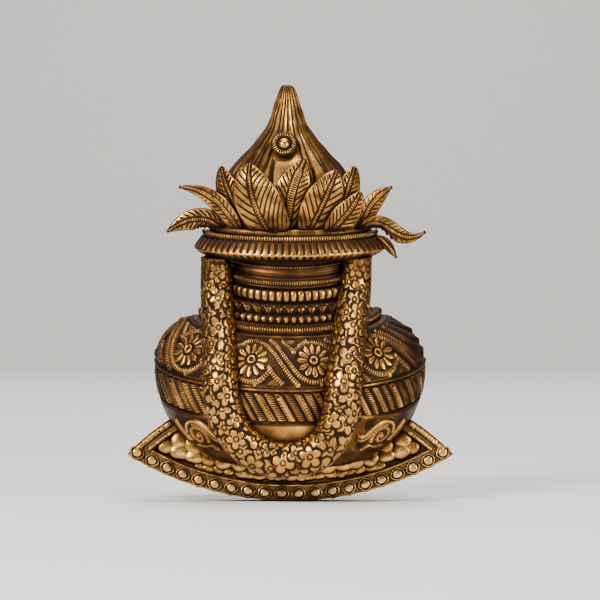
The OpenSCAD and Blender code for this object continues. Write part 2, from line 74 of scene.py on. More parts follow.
def unit(value):
    """The value, kept between 0 and 1."""
    return np.clip(value, 0, 1)


def bell(off, width, power=2):
    """1 in the middle, falling to 0 on both sides."""
    return np.exp(-(off / width) ** power)


def belly(level):
    """Radius of the belly at a level of the wall plane, in mm."""
    share = np.where(level > BELLY_LEVEL, (level - BELLY_LEVEL) / 31.7, (BELLY_LEVEL - level) / 54)
    return BELLY_R * (1 - share ** BELLY_ROUND) ** (1 / BELLY_ROUND)


def belly_line(low, high, lift=0.0, count=24):
    """Outline of the belly between two levels, as radius and level."""
    level = np.linspace(low, high, count)
    return np.column_stack([belly(level) + lift, level])


def half_round_turn(flat, along):
    """Angle round a flattened half ring for a distance along it, both from the middle, radius 1."""
    angle = np.linspace(-math.pi / 2, math.pi / 2, 1441)
    step = np.sqrt(np.cos(angle) ** 2 + (flat * np.sin(angle)) ** 2)
    reach = np.concatenate([[0], np.cumsum((step[1:] + step[:-1]) / 2 * np.diff(angle))])
    return np.interp(along, reach - reach[-1] / 2, angle), reach[-1] / 2


def lengths(line):
    """How far along a line each of its points is."""
    return np.concatenate([[0], np.cumsum(np.hypot(*np.diff(line, axis=0).T))])


def bend_round(outline, flat, drop, along, up, height, side=0.0):
    """Places points of a flat strip on a half ring: along and up the strip, and height off it, in mm."""
    outline = np.asarray(outline, float)
    length = lengths(outline)
    radius = np.interp(up, length, outline[:, 0])
    level = np.interp(up, length, outline[:, 1])
    e = 0.25
    rise_r = np.interp(up + e, length, outline[:, 0]) - np.interp(up - e, length, outline[:, 0])
    rise_z = np.interp(up + e, length, outline[:, 1]) - np.interp(up - e, length, outline[:, 1])
    size = np.hypot(rise_r, rise_z) + 1e-9
    radius = radius + rise_z / size * height
    level = level - rise_r / size * height
    angle, _ = half_round_turn(flat, along / np.max(outline[:, 0]))
    out = flat * radius * np.cos(angle)
    return np.stack([side + radius * np.sin(angle), -out, level - drop * out], axis=-1)


def clear_selection():
    if bpy.context.object and bpy.context.object.mode != "OBJECT":
        bpy.ops.object.mode_set(mode="OBJECT")
    bpy.ops.object.select_all(action="DESELECT")


def points_of(piece):
    points = np.empty(len(piece.data.vertices) * 3, np.float32)
    piece.data.vertices.foreach_get("co", points)
    return points.reshape(-1, 3)


def start_editing():
    bpy.ops.object.mode_set(mode="EDIT")
    bpy.ops.mesh.select_all(action="SELECT")


def stop_editing():
    bpy.ops.object.mode_set(mode="OBJECT")


def flat_sheet(name, columns, rows):
    """A flat square sheet, with the places of its points across and up it, from 0 to 1."""
    clear_selection()
    bpy.ops.mesh.primitive_grid_add(x_subdivisions=columns, y_subdivisions=rows, size=1)
    piece = bpy.context.object
    piece.name = name
    place = points_of(piece) + 0.5
    return piece, place[:, 0].astype(float), place[:, 1].astype(float)


def set_points(piece, points, rub_and_shade):
    """Gives a piece its shape, in mm, and how far each point has been rubbed bright, from 0 to 1, lowered
    where shade is painted in.
    """
    piece.data.vertices.foreach_set("co", (points * MM).astype(np.float32).ravel())
    worn = piece.data.attributes.new("rub_and_shade", "FLOAT", "POINT")
    worn.data.foreach_set("value", unit(rub_and_shade).astype(np.float32))
    piece.data.update()


def fit(piece, slot, *nodes):
    """Puts a piece in the place of the solids that it stands for, on the relief."""
    if nodes:
        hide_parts(*nodes)
    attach(piece, "relief")


def finish_sheet(piece, thick, material):
    """Turns the sheet's face to the front, and gives it its thickness and its finish."""
    if sum(face.normal.y * face.area for face in piece.data.polygons) > 0:
        bpy.context.view_layer.objects.active = piece
        start_editing()
        bpy.ops.mesh.flip_normals()
        stop_editing()
    shell = piece.modifiers.new("thickness", "SOLIDIFY")
    shell.thickness = thick * MM
    shell.offset = -1
    bpy.context.view_layer.objects.active = piece
    piece.select_set(True)
    bpy.ops.object.modifier_apply(modifier=shell.name)
    bpy.ops.object.shade_smooth()
    piece.data.materials.append(material)


BACK_ROWS = 5


def closed_strip(name, columns, rows, front, back, material):
    """A strip chased on its face, with a plain back, closed all round; front and back place its points."""
    piece, across, up = flat_sheet(name, columns, rows + BACK_ROWS)
    row = np.rint(up * (rows + BACK_ROWS))
    outside = (row <= rows) | (row == rows + BACK_ROWS)
    points, rub_and_shade = front(across, np.where(row <= rows, row / rows, 0))
    inside = back(across, unit((BACK_ROWS - 1 - (row - rows)) / (BACK_ROWS - 2)))
    points = np.where(outside[:, None], points, inside)
    points[:, 1] = np.minimum(points[:, 1], 0)
    set_points(piece, points, np.where(outside, rub_and_shade, 0.2))
    start_editing()
    bpy.ops.mesh.remove_doubles(threshold=0.0000015)
    bpy.ops.mesh.fill_holes(sides=0)
    bpy.ops.mesh.select_all(action="SELECT")
    bpy.ops.mesh.normals_make_consistent(inside=False)
    stop_editing()
    bpy.ops.object.shade_smooth_by_angle(angle=math.radians(62))
    piece.data.materials.append(material)
    return piece


def chased_ring(name, outline, chasing, columns, rows, material, flat=POT_FLAT, drop=POT_DROP,
                side=0.0, thick=RING_T, ceiling=None):
    """A half ring from a strip whose relief is given by chasing(along, up, length of the strip).
    A ceiling is the level that it must stay under, at the wall and for each mm nearer to the wall."""
    outline = np.asarray(outline, float)
    length = np.hypot(*np.diff(outline, axis=0).T).sum()
    half = half_round_turn(flat, 0)[1] * np.max(outline[:, 0])

    def front(across, up):
        along = (across * 2 - 1) * half
        height, rub_and_shade = chasing(along, up * length, length)
        # Painted shade: every ring is darker towards both ends of its half, where it turns away from the
        # front.
        rub_and_shade = rub_and_shade - 0.24 * unit(np.abs(across * 2 - 1) * 2 - 1)
        return under(bend_round(outline, flat, drop, along, up * length, height, side)), rub_and_shade

    def back(across, up):
        return under(bend_round(outline, flat, drop, (across * 2 - 1) * half, up * length, -thick, side))

    def under(points):
        if ceiling:
            points[:, 2] = np.minimum(points[:, 2], ceiling[0] + ceiling[1] * points[:, 1])
        return points

    return closed_strip(name, columns, rows, front, back, material)


BRIGHT = (0.66, 0.335, 0.082)
WORN = (0.15, 0.06, 0.0125)
GROUND = (0.024, 0.0115, 0.005)


def old_brass(name, bright=BRIGHT, worn=WORN, ground=GROUND, shine=0.24, rubbed=None, patches=90):
    """Cast brass with a dark patina in its recesses, rubbed back to metal on what stands out, and painted
    shade from occlusion in crevices and between parts.
    """
    material = bpy.data.materials.new(name)
    material.use_nodes = True
    tree = material.node_tree
    shader = tree.nodes["Principled BSDF"]

    def add(kind, **values):
        made = tree.nodes.new(kind)
        for key, value in values.items():
            setattr(made, key, value)
        return made

    def sums(operation, a, b, clamp=False):
        made = add("ShaderNodeMath", operation=operation, use_clamp=clamp)
        for socket, value in zip(made.inputs, (a, b)):
            if isinstance(value, (int, float)):
                socket.default_value = value
            else:
                tree.links.new(value, socket)
        return made.outputs[0]

    def spread(value, low, high):
        made = add("ShaderNodeMapRange")
        tree.links.new(value, made.inputs["Value"])
        made.inputs["To Min"].default_value = low
        made.inputs["To Max"].default_value = high
        return made.outputs["Result"]

    def noise(**values):
        made = add("ShaderNodeTexNoise")
        for socket, value in values.items():
            made.inputs[socket].default_value = value
        tree.links.new(place, made.inputs["Vector"])
        return made.outputs["Fac"]

    place = add("ShaderNodeTexCoord").outputs["Object"]
    tone = noise(Scale=patches, Detail=5, Roughness=0.62)
    grain = noise(Scale=1500, Detail=3)
    # Occlusion darkening: patina in the hollows, and also painted shade in crevices, under overhangs and
    # between separate parts.
    corner = add("ShaderNodeAmbientOcclusion", samples=6)
    corner.inputs["Distance"].default_value = 0.005
    # The per-point value holds wear, and painted shade where a piece darkens it.
    if rubbed is None:
        rub_and_shade = add("ShaderNodeAttribute", attribute_name="rub_and_shade").outputs["Fac"]
    else:
        rub_and_shade = sums("ADD", spread(tone, -0.2, 0.2), rubbed)
    hollow_patina_and_shade = sums("POWER", corner.outputs["AO"], 1.25)
    stain = sums("MULTIPLY", sums("SUBTRACT", tone, 0.53), 0.95)
    speck = sums("MULTIPLY", sums("SUBTRACT", grain, 0.5), 0.3)
    wear_and_shade = sums("ADD", sums("ADD", sums("MULTIPLY", rub_and_shade, hollow_patina_and_shade), stain), speck, clamp=True)

    ramp = add("ShaderNodeValToRGB").color_ramp
    ramp.elements[0].position = 0.12
    ramp.elements[0].color = (*ground, 1)
    ramp.elements[1].position = 0.95
    ramp.elements[1].color = (*bright, 1)
    middle = ramp.elements.new(0.58)
    middle.color = (*worn, 1)
    tint = ramp.id_data.nodes[-1]
    tree.links.new(wear_and_shade, tint.inputs["Fac"])
    tree.links.new(tint.outputs["Color"], shader.inputs["Base Color"])
    tree.links.new(spread(wear_and_shade, 0.88, 1.0), shader.inputs["Metallic"])
    tree.links.new(sums("ADD", spread(wear_and_shade, 0.5, shine), speck), shader.inputs["Roughness"])

    bump = add("ShaderNodeBump")
    bump.inputs["Strength"].default_value = 0.35
    bump.inputs["Distance"].default_value = 0.25 * MM
    tree.links.new(sums("ADD", grain, tone), bump.inputs["Height"])
    tree.links.new(bump.outputs["Normal"], shader.inputs["Normal"])
    return material


pot_brass = old_brass("pot brass")


def uneven(along, up, size, seed):
    """The slight unevenness of a casting, from a few slow waves, between -1 and 1."""
    rng = np.random.RandomState(seed)
    total = np.zeros_like(along)
    for _ in range(7):
        turn, pace, start = rng.uniform(0, 6.28), rng.uniform(0.5, 1.6) / size, rng.uniform(0, 6.28)
        total += np.sin((along * math.cos(turn) + up * math.sin(turn)) * pace * 6.28 + start)
    return total / 4


def plain_foot(along, up, length):
    height = 0.12 * uneven(along, up, 14, 3) + 0.05 * uneven(along, up, 4, 4)
    # Darker towards the bottom of the foot, and darker towards both sides as painted shade.
    rub_and_shade = 0.5 + 0.2 * uneven(along, up, 18, 5) - 0.4 * np.exp(-up / 4)
    rub_and_shade = rub_and_shade - 0.25 * unit((np.abs(along) - 30) / 30)
    return height, rub_and_shade


foot = chased_ring("foot", belly_line(26, 42), plain_foot, 260, 30, pot_brass, thick=FOOT_T)
fit(foot, "pot_brass", "pot_foot")


def plain_band(along, up, length):
    edge = bell(up - length + 0.8, 0.5)
    height = 0.4 + 0.12 * uneven(along, up, 12, 6) - 0.5 * edge
    # Painted shade: darker towards both sides, leaving the middle of the front light.
    rub_and_shade = 0.74 + 0.18 * uneven(along, up, 15, 7) - 0.6 * edge - 0.35 * unit((np.abs(along) - 26) / 24)
    return height, rub_and_shade


upper_foot = chased_ring("upper_foot", belly_line(42, 54), plain_band, 260, 24, pot_brass, thick=FOOT_T)
fit(upper_foot, "pot_brass", "scroll_band")


# ---------- Fluted band ----------
# Slanted flutes run round the belly, cast with the pot and then chased: some plain, some ticked
# like rope, some punched with a row of dots, with dark grooves between them.
FLUTE = 5.0
FLUTE_SLANT = math.tan(math.radians(29))


def dome(off, power=2):
    """1 in the middle, falling roundly to 0 at 1."""
    return np.sqrt(unit(1 - off ** power))


def ticks(along, pitch, softness=1.0):
    """Rounded ticks across a ridge, from 0 in the gaps to 1 on their tops."""
    return (0.5 + 0.5 * np.cos(2 * math.pi * along / pitch)) ** softness


def dots(along, across, pitch, radius):
    """A row of punched dots, 1 in their middles."""
    near = (along + pitch / 2) % pitch - pitch / 2
    return np.exp(-(near ** 2 + across ** 2) / radius ** 2 * 1.5)


def flutes(along, up, length):
    lean = math.cos(math.atan(FLUTE_SLANT))
    slant = along + (up - length / 2) * FLUTE_SLANT
    number = np.floor(slant / FLUTE)
    across = (slant / FLUTE - number - 0.5) * FLUTE * lean
    down = (length - up) / lean
    side = np.abs(across) / 1.95
    round_end = 1 - 0.55 * unit(1 - (down - 0.7) / 1.6) ** 2
    body = dome(side / round_end, 2.4)
    kind = number % 4
    ticked = np.isin(kind, (0, 2))
    cut = np.where(ticked, (1 - ticks(down, 1.25, 0.6)) * unit((0.86 - side) / 0.12), 0)
    dotted = 0.9 * dots(down, across - 0.7, 1.55, 0.5) + 0.6 * bell(across + 0.5, 0.22)
    punched = 0.9 * dots(down, across + 0.6, 1.7, 0.5) + 1.1 * dots(np.minimum(down - 2.6, 3), across, 9, 0.8)
    cut = np.where(kind == 1, dotted, np.where(kind == 3, punched, cut))
    ends = unit(np.minimum(down - 0.7, up - 0.8) / 0.7) ** 0.5
    high = body * ends
    height = -0.95 + 1.75 * high - 0.6 * cut * ends
    rub_and_shade = 0.95 * high ** 1.3 - 0.8 * cut * ends
    edge = bell(down - 0.1, 0.4) + bell(up, 0.4)
    return height + 0.5 * edge, rub_and_shade + 0.3 * edge


fluted = chased_ring("fluted_band_chased", belly_line(54, 70), flutes, 620, 58, pot_brass, thick=BELLY_T)
fit(fluted, "pot_brass", "fluted_band")


# ---------- Ridge under the medallions ----------
# A thin plain ridge, a strip of half-round wire brazed round the belly, rubbed along its top.
ridge_brass = old_brass("ridge brass")


def plain_ridge(along, up, length):
    across = np.abs(up / length - 0.5) * 2
    height = 0.75 * dome(across) + 0.05 * uneven(along, up, 5, 8)
    return height, 0.15 + 0.5 * (1 - across ** 2) + 0.1 * uneven(along, up, 9, 9)


ridge = chased_ring("ridge", belly_line(70, 71.5, 0.1), plain_ridge, 300, 8, ridge_brass, thick=BELLY_T)
fit(ridge, "ridge_brass", "lower_ridge")


# ---------- Medallion band ----------
# Three ticked ropes cross from the top of one rosette to the foot of the next, over a recessed
# dark ground with small raised triangles; the ropes are laid on and chased after casting.
ROSETTES = [-58.6, -20.7, 12.8, 49.4]
MIDDLE = 14.0
band_line = belly_line(71.5, 92.3, 0, 40)
band_line = np.vstack([band_line, [50.8, 93.0], [48.0, 93.3], [44.0, 93.4]])
BAND_UP = 30.4


def smooth_path(points, per_span=10):
    """A smooth curve through the points."""
    points = np.asarray(points, float)
    ends = np.vstack([2 * points[0] - points[1], points, 2 * points[-1] - points[-2]])
    t = np.linspace(0, 1, per_span, endpoint=False)[:, None]
    spans = []
    for a, b, c, d in zip(ends, ends[1:], ends[2:], ends[3:]):
        spans.append(0.5 * (2 * b + (c - a) * t + (2 * a - 5 * b + 4 * c - d) * t ** 2
                            + (3 * b - a - 3 * c + d) * t ** 3))
    return np.vstack(spans + [points[-1:]])


def rope_relief(along, up, path, half, pitch, depth=0.6):
    """Height and rub of a ticked rope laid along a path, 0 where it isn't."""
    path = smooth_path(path)
    height, rub_and_shade = np.zeros_like(along), np.zeros_like(along)
    low, high = path.min(axis=0) - half, path.max(axis=0) + half
    near = np.flatnonzero((along > low[0]) & (along < high[0]) & (up > low[1]) & (up < high[1]))
    if len(near) == 0:
        return height, rub_and_shade
    spot = np.column_stack([along[near], up[near]])
    start, step = path[:-1], np.diff(path, axis=0)
    size = np.hypot(*step.T)
    run = lengths(path)
    best = np.full(len(near), 1e9)
    where = np.zeros(len(near))
    for k in range(len(start)):
        share = unit(((spot - start[k]) @ step[k]) / size[k] ** 2)
        off = np.hypot(*(spot - start[k] - share[:, None] * step[k]).T)
        closer = off < best
        best = np.where(closer, off, best)
        where = np.where(closer, run[k] + share * size[k], where)
    body = dome(best / half)
    tick = ticks(where, pitch, 0.6) if pitch else np.ones_like(body)
    height[near] = body * (1 - depth * 0.5 * (1 - tick))
    rub_and_shade[near] = body ** 0.7 * (1 - depth * (1 - tick))
    return height, rub_and_shade


# The ropes of one crossing, measured from the rosette on its left
CROSSING = [
    [(-6.5, 9.0), (-4.4, 10.5), (0.2, 11.3), (5.9, 9.2), (11.3, 4.2), (15.1, -1.1), (20.1, -8.0),
     (23.6, -12.0)],
    [(8.4, 12.0), (11.9, 9.4), (16.9, 2.4), (20.7, -2.9), (25.4, -8.4), (31.0, -10.9), (36.4, -10.3),
     (38.5, -9.0)],
    [(15.6, 11.8), (20.1, 7.3), (22.6, 3.9)],
    [(9.4, -3.9), (11.9, -7.3), (16.4, -11.8)],
    [(3.0, -11.8), (6.9, -8.6), (10.4, -4.9)],
    [(21.6, 4.9), (25.1, 8.6), (29.0, 11.8)],
]
TRIANGLES = [(11.8, -11.2, 1), (20.2, 11.2, -1)]
# The ropes that lie side by side at the right end of the band, measured from the last rosette
SIDE_BY_SIDE = [[(17.4, 12.6), (21.6, 6.0), (25.8, 0.2), (31.0, -5.4), (38.0, -9.6)],
                [(23.6, 13.0), (28.0, 6.4), (32.0, 1.2), (38.0, -4.0)],
                [(30.0, 13.4), (34.4, 7.6), (39.0, 2.6)]]
FAR_LEFT = [[(6.2, 13.0), (4.4, 6.0), (4.8, -1.0), (6.6, -9.0)]]


def medallion_ground(along, up, length):
    height = np.full_like(along, -0.85) + 0.08 * uneven(along, up, 4, 11)
    rub_and_shade = np.full_like(along, 0.16)
    stops = [ROSETTES[0] - 66, ROSETTES[0] - 33, *ROSETTES, ROSETTES[-1] + 32]
    for left, right in zip(stops, stops[1:]):
        stretch = (right - left) / 32
        last = left == ROSETTES[-1]
        ropes = CROSSING + FAR_LEFT * (left < -90)
        if last:
            ropes = [*CROSSING[:2], *CROSSING[3:5], *SIDE_BY_SIDE]
        for path in ropes:
            laid = [(left + a * stretch, MIDDLE + b) for a, b in path]
            rise, wear = rope_relief(along, up, laid, 1.66, 1.28, 0.9)
            height = np.maximum(height, -0.85 + 1.95 * rise)
            rub_and_shade = np.maximum(rub_and_shade, wear)
        for a, b, way in TRIANGLES[:1] if last else TRIANGLES:
            reach = 2.3 - way * (up - MIDDLE - b)
            across = np.abs(along - left - a * stretch)
            inside = unit(np.minimum(reach - across, 1.7 - np.abs(up - MIDDLE - b)) / 0.5)
            height = np.maximum(height, -0.85 + 1.2 * inside)
            rub_and_shade = np.maximum(rub_and_shade, 0.6 * inside)
    faint = 1 - 0.45 * unit((along - 60) / 14)
    height, rub_and_shade = -0.85 + (height + 0.85) * faint, rub_and_shade * faint
    rim = bell(up - 0.5, 0.7) + bell(up - BAND_UP + 1.6, 0.9) * ticks(along, 1.3, 0.5)
    height = height + 0.75 * np.minimum(rim, 1) * (height < 0.2)
    rub_and_shade = np.maximum(rub_and_shade, 0.4 * rim)
    over = unit((up - BAND_UP + 1.0) / 1.2)
    return height * (1 - over), rub_and_shade * (1 - over) + over * (0.45 + 0.15 * uneven(along, up, 9, 12))


medallions = chased_ring("medallion_ground", band_line, medallion_ground, 700, 100, pot_brass, thick=BELLY_T)
fit(medallions, "pot_brass", "medallion_band")


# ---------- Rosettes ----------
# Twelve plump petals round a ringed eye. Each rosette is cast on its own, set down on the dark
# ground between the ropes and rubbed bright.
ROSETTE_R = 8.9


def rosette_relief(x, y, petals=12, outer=ROSETTE_R):
    """Height, from 0 to 1, of a rosette at x and y from its middle."""
    far = np.hypot(x, y)
    turn = (np.arctan2(y, x) / (2 * math.pi) * petals + 0.5) % 1 - 0.5
    inner = outer * 0.37
    share = unit((far - inner) / (outer - inner))
    width = math.pi * far / petals * 0.98 * unit((1 - share) / 0.3) ** 0.5
    off = np.abs(turn) * 2 * math.pi * far / petals
    petal = dome(off / np.maximum(width, 1e-3), 2.6) * (far > inner) * (far < outer)
    petal = petal * unit((far - inner) / 0.5) ** 0.5 * (0.72 + 0.28 * share)
    eye = dome((far - outer * 0.19) / (outer * 0.095))
    dot = 0.55 * dome(far / (outer * 0.07))
    return np.maximum(np.maximum(petal, eye), dot)


def joined(pieces, name):
    """Makes one piece of several."""
    clear_selection()
    for piece in pieces:
        piece.select_set(True)
    bpy.context.view_layer.objects.active = pieces[0]
    bpy.ops.object.join()
    pieces[0].name = name
    return pieces[0]


def round_off(across, up, radius):
    """Draws a square sheet in to a round one."""
    x, y = across * 2 - 1, up * 2 - 1
    return radius * x * np.sqrt(1 - y ** 2 / 2), radius * y * np.sqrt(1 - x ** 2 / 2)


rosette_pieces = []
for number, centre in enumerate(ROSETTES):
    piece, across, up = flat_sheet("rosette_%d" % (number + 1), 96, 96)
    x, y = round_off(across, up, 9.3)
    rise = rosette_relief(x, y)
    height = -1.75 + 0.95 * unit(rise * 8) + 1.7 * rise
    rub_and_shade = 0.98 * rise ** 0.9
    set_points(piece, bend_round(band_line, POT_FLAT, POT_DROP, centre + x, MIDDLE + y, height), rub_and_shade)
    finish_sheet(piece, 0.4, ridge_brass)
    rosette_pieces.append(piece)
rosettes = joined(rosette_pieces, "rosettes")
fit(rosettes, "ridge_brass", "medallion_rosettes")


# ---------- Scrolls at the foot ----------
# A coiled scroll with a ticked inner edge springs from each side of the foot under an arch, with
# a feather of slanted bars beside it. They are cast separately and brazed over the plain foot.
SCROLL_ALONG = 51.5
scroll_line = belly_line(27, 56, 0.3, 30)


def coil(x, y, radius, turns, way, start=0.0):
    """Points of a coil that winds in to x and y."""
    share = np.linspace(0, 1, int(turns * 12))
    size = radius * (1 - share) ** 0.8 + 0.6
    angle = start + way * share * turns * 2 * math.pi
    return list(zip(x + size * np.cos(angle), y + size * np.sin(angle)))


def scroll(name, side):
    piece, across, up = flat_sheet(name, 120, 90)
    x, y = (across * 2 - 1) * 17, (up * 2 - 1) * 12
    bars = [coil(0, -0.5, 5.6, 1.35, -1, math.radians(205)),
            [(-16, 1.2), (-12.5, 0.2), (-10, 1.8), (-7.5, 4.6), (-3.2, 7.4), (1.8, 7.9), (5.6, 5.2),
             (7.4, 1.0)],
            [(-15, -1.8), (-11.5, -2.2), (-8.6, 0.0), (-6.3, 3.2), (-2.8, 5.9), (1.4, 6.2)],
            [(7.0, -3.8), (10.0, 0.8), (13.4, 6.4)],
            [(9.4, -4.4), (12.0, -0.2), (15.2, 5.2)],
            [(-9.4, -8.6), (-5.6, -6.4), (-1.0, -7.4), (4.2, -6.9)]]
    rise, wear = np.zeros_like(x), np.zeros_like(x)
    halves, pitches = (1.45, 1.25, 0.95, 1.15, 1.0, 0.95), (1.15, 0, 0.95, 0, 0.9, 0.9)
    for path, half, pitch in zip(bars, halves, pitches):
        high, rubbed = rope_relief(x, y, path, half, pitch, 0.5)
        rise, wear = np.maximum(rise, high), np.maximum(wear, rubbed)
    eye = np.sqrt(unit(1 - np.hypot(x, y + 0.5) ** 2 / 2.6))
    rise, wear = np.maximum(rise, eye), np.maximum(wear, eye * 0.9)
    far = np.hypot(x, y)
    hatch = 0.35 * ticks(np.arctan2(y, x) * 4.2, 0.95) * (far < 6.6) * (far > 3)
    rise = np.maximum(rise, hatch)
    within = (1 - (x / 17) ** 4) * (1 - (y / 12) ** 4)
    fade = unit(within * 3)
    deep = unit((within - 0.35) / 0.3)
    height = -1.2 + 1.25 * fade + 1.35 * rise * fade
    centre_up = np.hypot(*np.diff(scroll_line, axis=0).T).sum() * 0.62
    points = bend_round(scroll_line, POT_FLAT, POT_DROP, side * (SCROLL_ALONG + x), centre_up + y - 0.10 * x,
                        height)
    points[:, 1] = np.minimum(points[:, 1], -0.2)
    set_points(piece, points, 0.6 * (1 - deep) + (0.05 + 0.95 * wear) * deep)
    finish_sheet(piece, 0.4, ridge_brass)
    fit(piece, "ridge_brass", "right_scroll" if side > 0 else "left_scroll")


scroll("scroll_right", 1)
scroll("scroll_left", -1)


# ---------- Rings of the neck ----------
# Five rings step up from the belly to the throat: a ticked ridge, small flutes, a row of pointed
# arches, broad flutes and a fine rope. Each has a flat shelf on top that the next one is sunk in.
SKIRT = 1.0


def ring_line(low, high, radius, shelf, swell=0.9):
    """Outline of a ring with a rounded face and a shelf on top that runs in to the next ring."""
    share = np.linspace(0, 1, 9)
    face = np.column_stack([radius - swell * (2 * share - 1) ** 2, low + (high - low) * share])
    return np.vstack([[radius - swell, low - SKIRT], face, [shelf, high]])


def skirted(relief):
    """The same relief, on a strip that starts with a plain skirt sunk in the ring below."""
    return lambda along, up, length: relief(along, np.maximum(up - SKIRT, 0), length - SKIRT)


def only_face(up, face, height, rub_and_shade, plain=0.2):
    """Keeps the relief on the ring's face and leaves its shelf plain."""
    over = up > face
    return np.where(over, 0, height), np.where(over, plain, rub_and_shade)


def ticked_ridge(along, up, length):
    face = 4.4
    top = unit((up - face * 0.38) / 0.4)
    body = np.sin(unit(up / face) * math.pi) ** 0.6
    tick = ticks(along, 1.25, 0.7)
    height = 0.6 * body - top * 0.7 * (1 - tick) - 0.45 * bell(up - face * 0.36, 0.3)
    rub_and_shade = np.where(up > face * 0.38, 0.05 + 0.9 * tick * body, 0.35 * body)
    rope = np.abs(np.sin(math.pi * (up - face) / 3.1)) ** 0.7
    shelf = up > face
    laid = (-0.5 + rope * (0.35 + 0.5 * tick)) * unit((length - up - 2.5) / 1.5)
    return np.where(shelf, laid, height), np.where(shelf, 0.05 + 0.7 * rope * tick, rub_and_shade)


def blocks(pitch, tall_face, gap):
    """Relief of a ring of rounded blocks."""
    def relief(along, up, length):
        across = np.abs((along / pitch) % 1 - 0.5) * 2
        round_top = dome(across / (1 - gap), 3)
        tall = dome(np.abs(up / tall_face - 0.5) * 2.15, 4)
        high = round_top * tall
        return only_face(up, tall_face, -0.8 + 1.5 * high, 0.92 * high ** 1.2)
    return relief


def arches(along, up, length):
    face = 5.3
    pitch = 5.5
    across = ((along / pitch) % 1 - 0.5) * pitch
    crown = face * 0.72
    half = 2.2 * dome(np.clip(up, 0, None) / crown, 2.2)
    off = np.abs(across) - half
    rim = bell(off, 0.5) * (up < crown + 0.5)
    inner = unit(1 - (np.abs(across) / 1.0) ** 2 - (up / (crown * 0.62) - 0.3) ** 2)
    between = unit((np.abs(across) - half - 0.3) / 0.5) * (up < crown)
    row = ticks(along, 1.1, 0.7) * bell(up - face * 0.88, 0.45)
    height = -0.8 + 1.3 * rim + 0.55 * inner + 0.45 * between + 0.8 * row
    rub_and_shade = 0.95 * rim + 0.2 * inner + 0.3 * between + 0.5 * row
    return only_face(up, face, height, rub_and_shade)


def fine_rope(along, up, length):
    face = 6.6
    centre = bell(up - face * 0.5, 1.25, 4)
    edges = bell(up - face * 0.14, 0.42) + bell(up - face * 0.85, 0.42)
    tick = ticks(along, 1.2, 0.7)
    height = -0.6 + centre * (0.5 + 0.65 * tick) + 0.75 * edges
    rub_and_shade = centre * (0.05 + 0.7 * tick) + 0.38 * edges
    return only_face(up, face, height, rub_and_shade)


NECK = [("ticked_ridge", "rope_ridge", 93, 97, 46, 36.5, ticked_ridge, 560, 40),
        ("small_flutes", "small_flutes_ring", 97, 101, 40, 32.5, blocks(3.8, 4.2, 0.34), 480, 34),
        ("pointed_arches", "petal_ring", 101, 106, 36, 29.5, arches, 520, 44),
        ("broad_flutes", "neck_flutes_ring", 106, 112.5, 33, 28.7, blocks(3.7, 6.7, 0.14), 480, 40),
        ("fine_rope_ring", "neck_rope_ring", 112.5, 119, 32.2, 27.5, fine_rope, 520, 40)]
for name, node, low, high, radius, shelf, relief, columns, rows in NECK:
    plain = "flutes" in node or node == "petal_ring"
    brass, slot = (pot_brass, "pot_brass") if plain else (ridge_brass, "ridge_brass")
    fit(chased_ring(name, ring_line(low, high, radius, shelf), skirted(relief), columns, rows, brass),
        slot, node)


# ---------- Throat ----------
# A short plain neck in the shade of the collar, with one ticked wire brazed near its top.


def throat_relief(along, up, length):
    wire = bell(up - 4.4, 0.75, 4)
    tick = ticks(along, 1.25, 0.7)
    low_edge = bell(up - 1.6, 0.5)
    height = -0.3 + wire * (0.6 + 0.6 * tick) + 0.4 * low_edge
    return height, 0.3 + wire * (-0.2 + 0.8 * tick) + 0.2 * low_edge


COLLAR_DROP = 0.2
throat_line = [(31, 119 - SKIRT), (31, 119), (30.8, 122), (31, 125.8), (31, 130)]
throat = chased_ring("throat_wall", throat_line, skirted(throat_relief), 460, 52, pot_brass,
                     ceiling=(124.6, COLLAR_DROP))
fit(throat, "pot_brass", "throat")


# ---------- Collar ----------
# The broad collar is folded to an edge all round and cut with slots above and below it, so that it
# shines in bars. A ticked rope lies on it, and above that a plain rolled lip.
COLLAR_FLAT = 26 / 48.5
collar_line = [(29, 124.2), (43.4, 124.2), (46.2, 125.6), (48.4, 127.6), (47.4, 129.6), (45.6, 131.8),
               (44, 134.2), (40, 134.2)]
COLLAR_EDGE = 14.4 + 3.13 + 2.97


def collar_bars(along, up, length):
    pitch = 3.6
    above = up > COLLAR_EDGE
    across = np.abs((along / pitch) % 1 - 0.5) * 2
    reach = np.where(above, (up - COLLAR_EDGE) / 7.0, (COLLAR_EDGE - up) / 6.1)
    slot_width = np.where(above, 0.62, 0.5)
    wall = unit((1 - across - slot_width * 0.5) / 0.16)
    clear = unit((0.15 - np.abs(reach)) / 0.06)
    bar = np.maximum(wall, clear)
    bar = np.where(np.abs(reach) > 1, 0.7, bar)
    round_bar = 0.22 * unit(1 - across ** 2)
    height = -0.85 + 0.95 * bar + round_bar
    rub_and_shade = 0.02 + bar * (0.86 - 0.6 * unit(np.where(above, reach, reach * 1.5)))
    plate = up < 12.5
    return np.where(plate, 0, height), np.where(plate, 0.05, rub_and_shade)


collar = chased_ring("collar_barred", collar_line, collar_bars, 760, 86, pot_brass, COLLAR_FLAT,
                     COLLAR_DROP, thick=1.6)
fit(collar, "pot_brass", "collar")


def collar_rope_relief(along, up, length):
    body = np.sin(unit(up / 3.2) * math.pi) ** 0.5
    tick = ticks(along, 1.25, 0.7)
    height = -0.2 + body * (0.45 + 0.5 * tick)
    return only_face(up, 3.2, height, 0.04 + 0.9 * body * tick)


collar_rope = chased_ring("collar_rope_ticked", ring_line(134.2, 136.2, 44, 38, 0.5),
                          skirted(collar_rope_relief), 620, 28, ridge_brass, COLLAR_FLAT, COLLAR_DROP)
fit(collar_rope, "ridge_brass", "collar_rope")


